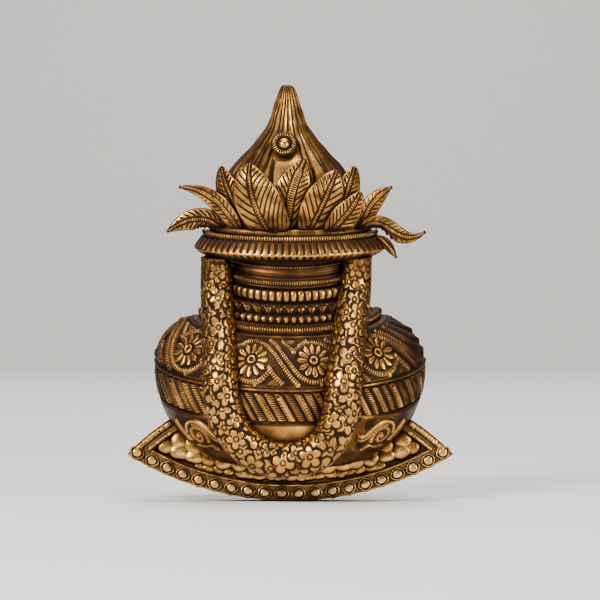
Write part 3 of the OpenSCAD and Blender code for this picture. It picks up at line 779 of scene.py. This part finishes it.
def lip_relief(along, up, length):
    height = 0.14 * uneven(along, up, 7, 21) + 0.05 * uneven(along, up, 2, 22)
    scratch = ticks(along + up * 0.8, 1.6) * ticks(along, 9.5)
    rub_and_shade = 0.64 + 0.2 * uneven(along, up, 9, 23) - 0.25 * scratch
    rub_and_shade = np.where(up > 7.5, 0.35, rub_and_shade)
    return height, rub_and_shade


LIP_TOP = 139.7
lip_line = [(38, 136.2), (40.7, 136.3), (41.5, 137.4), (41.4, 138.6), (40.5, 139.6), (38.5, LIP_TOP),
            (17, LIP_TOP)]
lip = chased_ring("rolled_lip", lip_line, lip_relief, 300, 56, pot_brass, COLLAR_FLAT, COLLAR_DROP)
fit(lip, "pot_brass", "lip")


# ---------- Coconut ----------
# The coconut stands on the lip, point up, its husk drawn into long wavering furrows that close
# towards the tip; they are chased deep and keep their dark patina.
COCONUT_FLAT = 0.6
COCONUT_SIDE = -1.3
COCONUT_R = 33
COCONUT_H = 69.8
share = np.array([0, 0.1, 0.2, 0.3, 0.4, 0.5, 0.6, 0.7, 0.8, 0.9, 0.985, 0.998, 1.0])
wide = [0.73, 0.9, 0.985, 0.985, 0.86, 0.66, 0.47, 0.315, 0.236, 0.162, 0.096, 0.06, 0.01]
coconut_line = np.column_stack([COCONUT_R * np.array(wide), LIP_TOP + COCONUT_H * share])
coconut_line = np.vstack([smooth_path(coconut_line[:11], 8), coconut_line[11:]])
# Each furrow's angle, where it starts and ends as a share of the height, and how deep it is cut
FURROWS = [(-82, 0, 1, 0.8), (-74, 0, 1, 0.9), (-66, 0, 1, 0.9), (-58, 0.05, 0.97, 0.8), (-49, 0, 1, 1.0),
           (-40, 0.1, 0.9, 0.8), (-31, 0, 0.62, 1.0), (-24, 0.3, 1, 0.9), (-15, 0, 0.5, 1.1),
           (-12, 0.62, 1, 0.9), (3, 0.66, 1, 1.0), (17, 0.3, 1, 1.2), (27, 0, 1, 1.1),
           (36, 0, 0.95, 1.0), (44, 0, 1, 1.0), (53, 0, 0.9, 0.9), (61, 0, 1, 0.9),
           (69, 0, 0.95, 0.8), (78, 0, 1, 0.8)]


def husk(along, up, length):
    angle, _ = half_round_turn(COCONUT_FLAT, along / np.max(coconut_line[:, 0]))
    angle = np.degrees(angle)
    rise = up / length
    radius = np.interp(up, lengths(coconut_line), coconut_line[:, 0])
    height = 0.25 * uneven(along, up, 16, 31)
    dark = np.zeros_like(along)
    for place, low, high, strength in FURROWS:
        sway = 3.2 * np.sin(rise * 5.5 + place * 0.35) * (1 - 0.5 * rise) + place * 0.12 * np.sin(rise * 3.1)
        off = np.radians(angle - place - sway) * radius
        width = 0.14 + 0.024 * radius
        run = unit((rise - low) / 0.06) * unit((high - rise) / 0.06)
        cut = bell(off, width) * run * strength
        height = height - (0.35 + 0.036 * radius) * cut + 0.34 * bell(off + width * 2.0, width * 1.2) * run
        dark = np.maximum(dark, cut)
    fine = ticks(along * 0.9 + up * 0.12 * np.sign(along), 1.9, 0.6) * unit((np.abs(angle) - 38) / 20)
    rub_and_shade = 0.78 + 0.14 * uneven(along, up, 11, 33) - 1.0 * dark
    rub_and_shade = rub_and_shade - 0.25 * (1 - fine) * unit((np.abs(angle) - 45) / 20)
    tip = unit((length - up) / 4)
    return height * tip, rub_and_shade


coconut = chased_ring("coconut_husk", coconut_line, husk, 320, 150, ridge_brass, COCONUT_FLAT, COLLAR_DROP,
                      COCONUT_SIDE, thick=2.0)
coconut_brass = old_brass("coconut brass")
coconut.data.materials[0] = coconut_brass
fit(coconut, "coconut_brass", "coconut")


# ---------- Mark on the coconut ----------
# A round plate ticked like a coin's edge, with a polished boss in its dish, brazed on the husk.
tika_low, tika_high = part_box("tika_plate")
boss_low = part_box("tika_boss")[0]
tika_middle = np.array([(tika_low.x + tika_high.x) / 2, (tika_low.y + boss_low.y) / 2,
                        (tika_low.z + tika_high.z) / 2]) / MM
tika_middle[1] += 1.2
tika_lean = math.radians(24)
tika, across, up = flat_sheet("tika", 110, 110)
x, y = round_off(across, up, 6.7)
far = np.hypot(x, y)
turn = np.arctan2(y, x)
boss = 2.3 * dome(far / 3.1)
edge = dome((far - 4.95) / 1.45) * (0.55 + 0.6 * ticks(turn * 4, 4 * 2 * math.pi / 26, 0.7))
height = np.maximum(np.maximum(boss, edge), np.where(far < 6.4, 0.0, -3.5 * unit((far - 6.4) / 0.3)))
rub_and_shade = unit(np.where(far < 3.0, 0.95, 0) + edge ** 1.5 * 0.9)
front = np.stack([x, -height * math.cos(tika_lean) + y * math.sin(tika_lean),
                  y * math.cos(tika_lean) + height * math.sin(tika_lean)], axis=-1)
set_points(tika, front + tika_middle, rub_and_shade)
finish_sheet(tika, 0.5, coconut_brass)
fit(tika, "coconut_brass", "tika_plate", "tika_boss")


# ---------- Mango leaves ----------
# Eleven leaves stand round the coconut and spread over the collar. Each is a thin cast sheet with
# a rounded face, a beaded midrib, cut veins and an edge turned up a little.
LEAF_T = 1.1
CROWN_HALF, CROWN_H = 43.9, 34.9
leaf_brass = old_brass("leaf brass")


def crown_depth(x, z):
    """How far the crown of leaves stands out from the wall at a place, in mm."""
    share = unit((z - LIP_TOP) / CROWN_H)
    base = COCONUT_FLAT * COCONUT_R * 0.73 + 1.6 + 1
    swell = COCONUT_FLAT * COCONUT_R + 1.6 + 2.9 - base
    return (base + swell * np.sin(math.pi * share)) * np.sqrt(np.clip(1 - (x / CROWN_HALF) ** 2, 0.05, 1))


def spine_place(p, t):
    """Where a leaf's spine runs, t of the way along it."""
    s = 1 - t
    return s ** 3 * p[0] + 3 * t * s ** 2 * p[1] + 3 * t ** 2 * s * p[2] + t ** 3 * p[3]


def mango_leaf(name, spine, half, layer=0, depths=(0, 0), seated=True, veins=2.9, rib_side=0.0,
               rib_half=0.75):
    """A leaf along a spine of four points, across the front and above the lip, in mm."""
    rows, columns = (150, 84) if half > 8 else (110, 50)
    piece, across, t = flat_sheet(name + "_leaf", columns, rows)
    v = across * 2 - 1
    p = np.asarray(spine, float)
    s = (1 - t)[:, None]
    r = t[:, None]
    centre = spine_place(p, r)
    way = 3 * (s ** 2 * (p[1] - p[0]) + 2 * r * s * (p[2] - p[1]) + r ** 2 * (p[3] - p[2]))
    way = way / np.hypot(*way.T)[:, None]
    width = 0.15 + 1.02 * half * np.sin(math.pi * (0.1 + 0.9 * t)) ** (0.6 if half > 6 else 0.76)
    long = np.hypot(*np.diff(spine_place(p, np.linspace(0, 1, 200)[:, None]), axis=0).T).sum()
    run = t * long
    off = v * width
    x = centre[:, 0] - way[:, 1] * off
    z = LIP_TOP + centre[:, 1] + way[:, 0] * off
    beside = off - rib_side * (1 - t) ** 1.5
    rib_wide = rib_half * np.clip(np.sin(math.pi * unit(t * 1.05)) * 1.8, 0.45, 1)
    rib = bell(beside, rib_wide, 4)
    gutter = bell(np.abs(beside) - rib_wide - 0.5, 0.32)
    vein_run = (run - np.abs(beside) * 1.25) / veins + np.where(beside > 0, 0.37, 0)
    vein_off = np.abs(vein_run % 1 - 0.5) * veins
    vein = unit((0.52 - vein_off) / 0.22) * unit((np.abs(beside) - rib_wide - 0.9) / 0.4)
    vein = vein * unit((width - np.abs(off) - 0.9) / 0.5) * unit((t - 0.03) / 0.05)
    bead = ticks(run, 1.25, 0.6)
    edge = unit((width - np.abs(off)) / np.minimum(0.7, 0.35 * width))
    height = rib * (0.15 + 0.6 * bead) - 0.6 * gutter - 0.85 * vein - 0.5 * (1 - edge) ** 2
    height = height * np.clip(half / 6, 0.5, 1)
    out = np.maximum(depths[0] + (depths[1] - depths[0]) * t, crown_depth(x, z) + layer * 2.6)
    out = out + 0.8 * (1 - v ** 2) + height * 0.8
    painted_base_shade = np.zeros_like(z)
    if seated:
        seat = LIP_TOP - COLLAR_DROP * out - 1.2 * np.maximum(0, np.abs(x) - 46)
        h = z - seat
        z = seat + 0.05 + np.where(h > 1, h, np.exp(np.minimum(h, 1) - 1))
        painted_base_shade = np.exp(-np.clip(h, 0, None) / 1.6)
    rub_and_shade = 0.82 - 1.0 * vein - 0.85 * gutter - 0.8 * rib * (1 - bead) + 0.15 * rib
    # Painted shade: darker where the leaf's base goes into the lip, and towards its base.
    rub_and_shade = rub_and_shade - 0.35 * (1 - edge) - 0.75 * painted_base_shade - 0.2 * unit(1 - run / (0.3 * long))
    rub_and_shade = rub_and_shade + 0.12 * uneven(run, off, 8, 50 + int(half * 10))
    set_points(piece, np.stack([x, -out, z], axis=-1), rub_and_shade)
    finish_sheet(piece, LEAF_T, leaf_brass)
    fit(piece, "leaf_brass", "leaf_" + name)


mango_leaf("front_left", [(-3, -6), (-14, 2), (-22, 18), (-20, 29)], 11, 2, veins=4.0, rib_side=5.6)
mango_leaf("front_right", [(8, -6), (14, 3), (19, 14), (23.5, 25.5)], 9.5, 1, veins=4.0, rib_side=-0.8)
mango_leaf("centre", [(-1.5, -6), (-1, 11), (2, 20), (7.5, 31)], 8.5, 0, veins=3.4, rib_half=1.7)
mango_leaf("side_left", [(-21, -5.5), (-26, 6), (-33, 16), (-34.5, 28)], 6.5, 0)
mango_leaf("side_right", [(20, -5.5), (25, 6), (30, 16), (32.5, 28)], 6.5, 0)
mango_leaf("low_right", [(19, -6), (25, -1), (31, 5), (35.5, 15)], 6.5, 2)
mango_leaf("spread_left", [(-24, -6), (-32, 4), (-38, 17), (-56, 17.5)], 4.2, 1, (12, 13))
mango_leaf("low_left", [(-33, -5), (-40, 3), (-50, 4), (-62, -5)], 5.6, -3, (12, 9))
mango_leaf("spread_right", [(35, -5), (38, 6), (43, 13), (51, 17.5)], 4.5, -3, (10, 9))
mango_leaf("horn", [(33.5, -6), (48, 9.5), (52, -16), (68, -5)], 4.4, -3, (12.6, 10))
mango_leaf("drooping", [(44, -7.5), (47.5, -9), (50.5, -12.5), (53.6, -18)], 2.4, -3, (5.6, 4.8),
           seated=False, veins=1.8)


# ---------- Garland ----------
# A thick rope of four- and five-petalled flowers hangs in front of the pot from under the collar.
# It is one casting: the flat flowers overlap, each with a punched eye, over a plain dark core.
garland_brass = old_brass("garland brass")
core_brass = old_brass("garland core", WORN, (0.10, 0.055, 0.022), shine=0.5, rubbed=0.3)


def refinish(node, material):
    """Gives its finish to a solid that stays as it is."""
    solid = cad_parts[node]
    solid.data.materials.clear()
    solid.data.materials.append(material)
    return solid


core = refinish("garland", core_brass)
GARLAND_R = 8.6
course = smooth_path([(-37.4, 1), (-36.9, 0.82), (-35.6, 0.64), (-34.5, 0.45), (-33.6, 0.31), (-29.5, 0.17),
                      (-19.5, 0.055), (-7, 0.005), (6, 0.008), (17.5, 0.075), (24.2, 0.2), (26.6, 0.35),
                      (28.2, 0.5), (30.4, 0.66), (32.6, 0.82), (33.8, 1)], 12)
course[:, 1] = 21.5 + course[:, 1] * 101.7
course_run = lengths(course)
rope_size = GARLAND_R * (1 - 0.2 * (2 * np.abs(np.linspace(0, 1, len(course)) - 0.5)) ** 2)

# How far the rope's middle stands out, from the core's own skin
core_skin = BVHTree.FromPolygons([tuple(v.co) for v in core.data.vertices],
                                 [tuple(f.vertices) for f in core.data.polygons])
rope_out = np.zeros(len(course))
for k, (x, z) in enumerate(course):
    hit = core_skin.ray_cast(Vector((x, -80, min(z, 114))) * MM, Vector((0, 1, 0)))[0]
    rope_out[k] = -hit.y / MM - rope_size[k]

# Places of the flowers along the rope and round it, each with its size, turn and petals
rng = np.random.RandomState(14)
blooms = []
for row, run in enumerate(np.arange(1.5, course_run[-1], 6.9)):
    for across in ([-15.6, -7.8, 0, 7.8, 15.6] if row % 2 else [-11.7, -3.9, 3.9, 11.7]):
        blooms.append((run + rng.uniform(-1.5, 1.5), across + rng.uniform(-1.3, 1.3), rng.uniform(5.0, 6.1),
                       rng.uniform(0, 6.28), rng.choice([4, 5, 5]), rng.uniform(0.85, 1)))
rng.shuffle(blooms)


def flower_relief(run, across):
    """Height, in mm, and rub of the overlapping flowers at places along and round the rope."""
    height, rub_and_shade = np.full_like(run, -0.25), np.full_like(run, 0.02)
    for at_run, at_across, size, turn, petals, wear in blooms:
        near = np.flatnonzero((np.abs(run - at_run) < size + 0.8) & (np.abs(across - at_across) < size + 0.8))
        dx, dy = run[near] - at_run, across[near] - at_across
        far = np.hypot(dx, dy)
        angle = np.arctan2(dy, dx) + turn
        lobe = np.abs(np.cos(angle * petals / 2))
        rim = size * (0.48 + 0.52 * lobe ** 0.75)
        inside = rim - far
        cover = unit(inside / 0.35)
        crease = bell(inside + 0.32, 0.42)
        cleft = bell(lobe * far, 0.4) * unit((far / size - 0.36) / 0.15)
        eye = bell(far - 1.2, 0.3)
        top = 0.78 * np.sqrt(unit(inside / 0.9)) - 0.12 * unit(1 - far / size)
        top = top - 0.5 * cleft - 0.45 * eye + 0.1 * bell(far, 0.8)
        shine = wear * (0.55 + 0.45 * unit(inside / 0.6)) - 0.8 * cleft - 0.8 * eye
        height[near] = (height[near] - 0.7 * crease) * (1 - cover) + top * cover
        rub_and_shade[near] = (rub_and_shade[near] - 1.0 * crease) * (1 - cover) + shine * cover
    return np.maximum(height, -0.4), rub_and_shade


def on_course(run):
    """Places on the rope's course, by how far along it they are."""
    return np.stack([np.interp(run, course_run, course[:, k]) for k in (0, 1)], axis=-1)


TURN = math.radians(104)
piece, along, round_it = flat_sheet("garland_flowers", 580, 80)
run = along * course_run[-1]
turn = (round_it * 2 - 1) * TURN
middle = on_course(run)
ahead = on_course(run + 1.5) - on_course(run - 1.5)
ahead = ahead / np.hypot(*ahead.T)[:, None]
size = np.interp(run, course_run, rope_size)
out = np.interp(run, course_run, rope_out)
height, rub_and_shade = flower_relief(run, turn * GARLAND_R)
# Painted shade: the flowers are darker towards the sides of the rope, and darker near the collar as a painted
# shadow of it; both zones are also flattened.
side_shade_zone = unit((np.abs(turn) - math.radians(58)) / math.radians(40))
collar_shadow_zone = unit((middle[:, 1] - 106) / 12)
height = height * (1 - 0.35 * side_shade_zone) * (1 - 0.5 * collar_shadow_zone) + 0.4
rub_and_shade = rub_and_shade * (1 - 0.5 * side_shade_zone) * (1 - 0.55 * collar_shadow_zone) + 0.12 * side_shade_zone + 0.15 * collar_shadow_zone
reach = (size + height) * np.sin(turn)
points = np.stack([middle[:, 0] - ahead[:, 1] * reach, -out - (size + height) * np.cos(turn),
                   middle[:, 1] + ahead[:, 0] * reach], axis=-1)
points[:, 1] = np.minimum(points[:, 1], -0.3)
points[:, 2] = np.minimum(points[:, 2], 124.1 + COLLAR_DROP * points[:, 1])
set_points(piece, points, rub_and_shade)
finish_sheet(piece, 0.5, garland_brass)
fit(piece, "garland_brass")


# ---------- Tray ----------
# The pointed tray leans back a little from its beaded front edge. Its body is one casting with a
# sunken well; a plain roll runs along the back edges, and coin-like scales lie heaped in the well.
TRAY_LEAN = math.radians(9)
TRAY_DEPTH = 16
TRAY_HALF = 82
FRONT_RISE, BACK_RISE = 23, 35
FRONT_ARC = (TRAY_HALF ** 2 + FRONT_RISE ** 2) / (2 * FRONT_RISE)
BACK_ARC = (TRAY_HALF ** 2 + BACK_RISE ** 2) / (2 * BACK_RISE)
BACK_CENTRE = FRONT_RISE + BACK_RISE - BACK_ARC
tray_brass = old_brass("tray brass", (0.50, 0.30, 0.12), (0.20, 0.105, 0.038), shine=0.36, rubbed=0.6,
                       patches=70)
refinish("tray", tray_brass)


def on_tray(x, z, lift):
    """Places points on the tray's leaning face, lift mm in front of it."""
    return np.stack([x, -TRAY_DEPTH + z * math.tan(TRAY_LEAN) - lift * math.cos(TRAY_LEAN),
                     z + lift * math.sin(TRAY_LEAN)], axis=-1)


def roll_along(name, centre_z, radius, start, stop, half, tall, count, wobble, material, base=0.0):
    """A half-round roll along an arc of the tray's edge, from one angle to another, in degrees."""
    piece, across, up = flat_sheet(name, count, 12)
    angle = np.radians(start + (stop - start) * across)
    over = up * 2 - 1
    lift = base + tall * dome(over) * (1 + wobble * uneven(across * 60, over, 5, 41))
    ends = unit(np.minimum(across, 1 - across) * count / 3) ** 0.5
    reach = radius + over * half
    x = reach * np.sin(angle)
    z = centre_z - reach * np.cos(angle)
    rub_and_shade = 0.25 + 0.75 * (1 - over ** 2) + 0.15 * uneven(across * 80, over, 6, 42)
    set_points(piece, on_tray(x, z, base + (lift - base) * ends - 0.4), rub_and_shade)
    finish_sheet(piece, 0.4, material)
    return piece


edge_brass = old_brass("tray edge brass")
rolls = []
for name, inset, half, start, stop in (("back_roll_left", 2.0, 1.9, -136.2, -147.5),
                                       ("back_roll_right", 2.0, 1.9, 136.2, 147.5),
                                       ("well_roll_left", 6.0, 1.2, -138.5, -146.5),
                                       ("well_roll_right", 6.0, 1.2, 138.5, 146.5)):
    rolls.append(roll_along(name, BACK_CENTRE, BACK_ARC - inset, start, stop, half, half * 1.1, 150, 0.2,
                            edge_brass))
for roll in rolls:
    fit(roll, "tray_brass")
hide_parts("tray_back_roll")

front_lip = roll_along("front_lip", FRONT_ARC, FRONT_ARC - 0.55, -31.2, 31.2, 0.6, 0.75, 260, 0.35,
                       edge_brass)
fit(front_lip, "tray_brass")

inner_lip = roll_along("trough_lip", FRONT_ARC, FRONT_ARC - 7.4, -28.1, 28.1, 1.1, 1.2, 240, 0.3, edge_brass,
                       base=-0.6)
fit(inner_lip, "tray_brass")


def belly_out(x, z):
    """How far the belly stands out at a place, by closing in on it."""
    out = 0.0
    for _ in range(40):
        level = z + POT_DROP * out
        wide = float(belly(min(level, 92.0))) if level > 26 else 0.0
        out = 0.5 * out + 0.5 * POT_FLAT * math.sqrt(max(wide * wide - x * x, 0))
    return out


def pad(corners, radius, size, steps):
    """A round pad, built up by steps in and up from its edge."""
    clear_selection()
    bpy.ops.mesh.primitive_circle_add(vertices=corners, radius=radius * size, fill_type="NGON",
                                      location=(0, 0, 0))
    start_editing()
    for thick, rise in steps:
        bpy.ops.mesh.inset(thickness=thick * size, depth=rise * size)
    stop_editing()
    return bpy.context.object


def copy_of(piece):
    """A copy of a piece, with a mesh of its own."""
    made = piece.copy()
    made.data = piece.data.copy()
    bpy.context.scene.collection.objects.link(made)
    return made


scale = pad(28, 1, 1, ((0.05, 0.10), (0.08, 0.09), (0.14, 0.07), (0.22, 0.05), (0.26, 0.02)))
scale_points = points_of(scale).astype(float)
scale_far = np.hypot(scale_points[:, 0], scale_points[:, 1])
scale_turn = np.arctan2(scale_points[:, 1], scale_points[:, 0])
SCALE_ROWS = ((12.9, 3.7), (17.5, 5.4), (22.6, 5.9), (28.0, 6.3), (33.6, 6.4), (39.5, 6.4))
POT_EDGE = 20.8
scales = []
rng = np.random.RandomState(5)
for row, (inset, size) in enumerate(SCALE_ROWS):
    step = math.degrees(size * 1.36 / (FRONT_ARC - inset))
    for k in range(-16, 17):
        angle = math.radians((k + 0.5 * (row % 2)) * step + rng.uniform(-0.35, 0.35))
        arc = FRONT_ARC - inset + 4.2 * min(1, abs(math.degrees(angle)) / 24) ** 2
        x, z = arc * math.sin(angle), FRONT_ARC - arc * math.cos(angle)
        if abs(x) > (73.5 - 1.5 * row if row else 48) or math.hypot(x, z - BACK_CENTRE) > BACK_ARC - 8.6:
            continue
        if belly_out(x, z - 1.5) > 14.5:
            continue
        lean_out, lean_side = math.radians(2.5 + rng.uniform(-4, 4)), math.radians(rng.uniform(-5, 5))
        local = scale_points * size * rng.uniform(0.86, 1.14)
        lobes = 1 + 0.05 * np.sin(3 * scale_turn + rng.uniform(0, 6))
        lobes = lobes + 0.03 * np.sin(5 * scale_turn + rng.uniform(0, 6))
        lift = -3.0 + 0.5 * row + local[:, 2] * 1.1
        lift = lift - local[:, 1] * math.tan(lean_out) + local[:, 0] * math.tan(lean_side)
        local[:, 0] *= lobes * rng.uniform(0.94, 1.12)
        placed = on_tray(x + local[:, 0], z + local[:, 1] * lobes * 0.92, lift)
        behind = np.abs(placed[:, 0]) < 40
        placed[behind, 2] = np.minimum(placed[behind, 2], POT_EDGE)
        made = copy_of(scale)
        set_points(made, placed, 1.0 - 1.4 * unit((scale_far - 0.84) / 0.16) + rng.uniform(-0.1, 0.04))
        scales.append(made)
bpy.data.objects.remove(scale)
scales = joined(scales, "scales")
finish_sheet(scales, 1.2, edge_brass)
fit(scales, "tray_brass", "tray_petals")


# ---------- Beads ----------
# Twenty beads along the front edge, each a flattened dome in its own rolled ring, soldered to the
# border and rubbed flat on top by polishing. One is shaped and the others are copies of it.
bead_brass = old_brass("bead brass", (0.80, 0.46, 0.15), shine=0.26)
BEAD_R = 3.95
BEADS = 20
RING_STEPS = ((0.12, 0.6), (0.3, 0.5), (0.3, 0.16), (0.35, -0.1), (0.25, -0.35), (0.1, -0.55))
DOME_STEPS = ((0.06, 0.1), (0.08, 0.6), (0.16, 0.4), (0.3, 0.2), (0.6, 0.08), (0.7, 0.03), (0.35, 0.0))
bead = pad(40, BEAD_R, MM, RING_STEPS + DOME_STEPS)
bead_points = points_of(bead).astype(float) / MM
bead_far = np.hypot(bead_points[:, 0], bead_points[:, 1])
bead_rub = np.interp(bead_far, [0, 1.8, 2.2, 2.35, 2.5, 2.75, 3.0, 3.4, 3.7, 3.9],
                     [1, 1, 0.9, 0.5, 0.0, 0.1, 0.7, 1.0, 0.7, 0.1])
bead_turn = np.arctan2(bead_points[:, 1], bead_points[:, 0])
bead_line = FRONT_ARC - 3.3
bead_end = math.asin((TRAY_HALF - 5.2) / bead_line)
rng = np.random.RandomState(8)
beads = []
for k in range(BEADS):
    angle = bead_end * (2 * k / (BEADS - 1) - 1)
    made = copy_of(bead)
    wide, tall = rng.uniform(0.97, 1.03), rng.uniform(0.86, 0.93)
    square = 1 + 0.05 * np.cos(4 * bead_turn + rng.uniform(-0.4, 0.4)) * (bead_far > 2.6)
    square = square + 0.03 * np.sin(3 * bead_turn + k)
    dx, dy = bead_points[:, 0] * wide * square, bead_points[:, 1] * tall * square
    x = bead_line * math.sin(angle) + dx * math.cos(angle) - dy * math.sin(angle)
    z = FRONT_ARC - bead_line * math.cos(angle) + dx * math.sin(angle) + dy * math.cos(angle)
    dent = 0.03 * unit(bead_far - 0.5) * np.sin(2 * bead_turn + k)
    lift = bead_points[:, 2] * rng.uniform(0.92, 1.06) + dent
    set_points(made, on_tray(x, z, lift), bead_rub * rng.uniform(0.86, 1))
    beads.append(made)
bpy.data.objects.remove(bead)
beads = joined(beads, "beads_in_rings")
finish_sheet(beads, 0.3, bead_brass)
fit(beads, "bead_brass", "beads", "bead_settings")


# ---------- Hanger ----------
# Behind, a flat strap is brazed across the inside of the collar, and a bent ring of wire swings in
# the knuckle on it. These are plain dull brass, never polished.
fitting_brass = old_brass("fitting brass", (0.45, 0.28, 0.12), (0.24, 0.13, 0.05), (0.03, 0.02, 0.011),
                          shine=0.38, rubbed=0.55)
for node in ("hanger_strap", "hanger_lug", "hanger_ring"):
    refinish(node, fitting_brass)


# ---------- Floor, light and camera ----------
# A plain pale floor that sweeps up far behind, under soft studio light, seen square from the front.
clear_selection()
bpy.ops.mesh.primitive_plane_add(size=9, location=(0, -1.2, -0.0005))
floor = bpy.context.object
floor.name = "floor"
bpy.ops.object.transform_apply(location=True)
bpy.ops.object.mode_set(mode="EDIT")
bpy.ops.mesh.select_all(action="DESELECT")
stop_editing()
for edge in floor.data.edges:
    edge.select = all(floor.data.vertices[i].co.y > 3 for i in edge.vertices)
bpy.ops.object.mode_set(mode="EDIT")
bpy.ops.mesh.select_mode(type="EDGE")
for k in range(8):
    low, high = math.radians(k * 11.25), math.radians((k + 1) * 11.25)
    step = (0, math.sin(high) - math.sin(low), math.cos(low) - math.cos(high))
    bpy.ops.mesh.extrude_region_move(TRANSFORM_OT_translate={"value": step})
bpy.ops.mesh.extrude_region_move(TRANSFORM_OT_translate={"value": (0, 0, 2.5)})
stop_editing()
bpy.ops.object.shade_smooth()
paper = bpy.data.materials.new("pale paper")
paper.use_nodes = True
paper.node_tree.nodes["Principled BSDF"].inputs["Base Color"].default_value = (0.80, 0.77, 0.73, 1)
paper.node_tree.nodes["Principled BSDF"].inputs["Roughness"].default_value = 0.9
floor.data.materials.append(paper)
floor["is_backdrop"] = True

world = bpy.data.worlds.new("studio")
bpy.context.scene.world = world
world.use_nodes = True
world.node_tree.nodes["Background"].inputs["Color"].default_value = (0.82, 0.79, 0.75, 1)
world.node_tree.nodes["Background"].inputs["Strength"].default_value = 0.13

OBJECT_MIDDLE = (0, -0.02, 0.10)
for name, place, size, power, aim in (("key", (-0.75, -1.05, 0.8), 0.5, 26, OBJECT_MIDDLE),
                                      ("side", (0.95, -0.9, 0.5), 0.4, 12, OBJECT_MIDDLE),
                                      ("top", (0.1, -0.35, 1.3), 0.6, 9, OBJECT_MIDDLE),
                                      ("low", (0.1, -1.5, 0), 0.5, 4, OBJECT_MIDDLE),
                                      ("backdrop", (0, 1.2, 2.6), 2.0, 110, (0, 3.0, 0.3))):
    bpy.ops.object.light_add(type="AREA", location=place)
    light = bpy.context.object
    light.name = name
    light.data.shape = "SQUARE"
    light.data.size = size
    light.data.energy = power
    light.rotation_mode = "QUATERNION"
    light.rotation_quaternion = (Vector(aim) - Vector(place)).to_track_quat("-Z", "Y")
    light.visible_camera = False

lens = bpy.data.cameras.new("camera")
camera = bpy.data.objects.new("camera", lens)
bpy.context.scene.collection.objects.link(camera)
lens.lens = 192
lens.sensor_width = 36
lens.clip_start = 0.01
camera.location = (0.005, -1.62, 0.1005)
camera.rotation_euler = (math.radians(90), 0, 0)
bpy.context.scene.camera = camera

low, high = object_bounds()
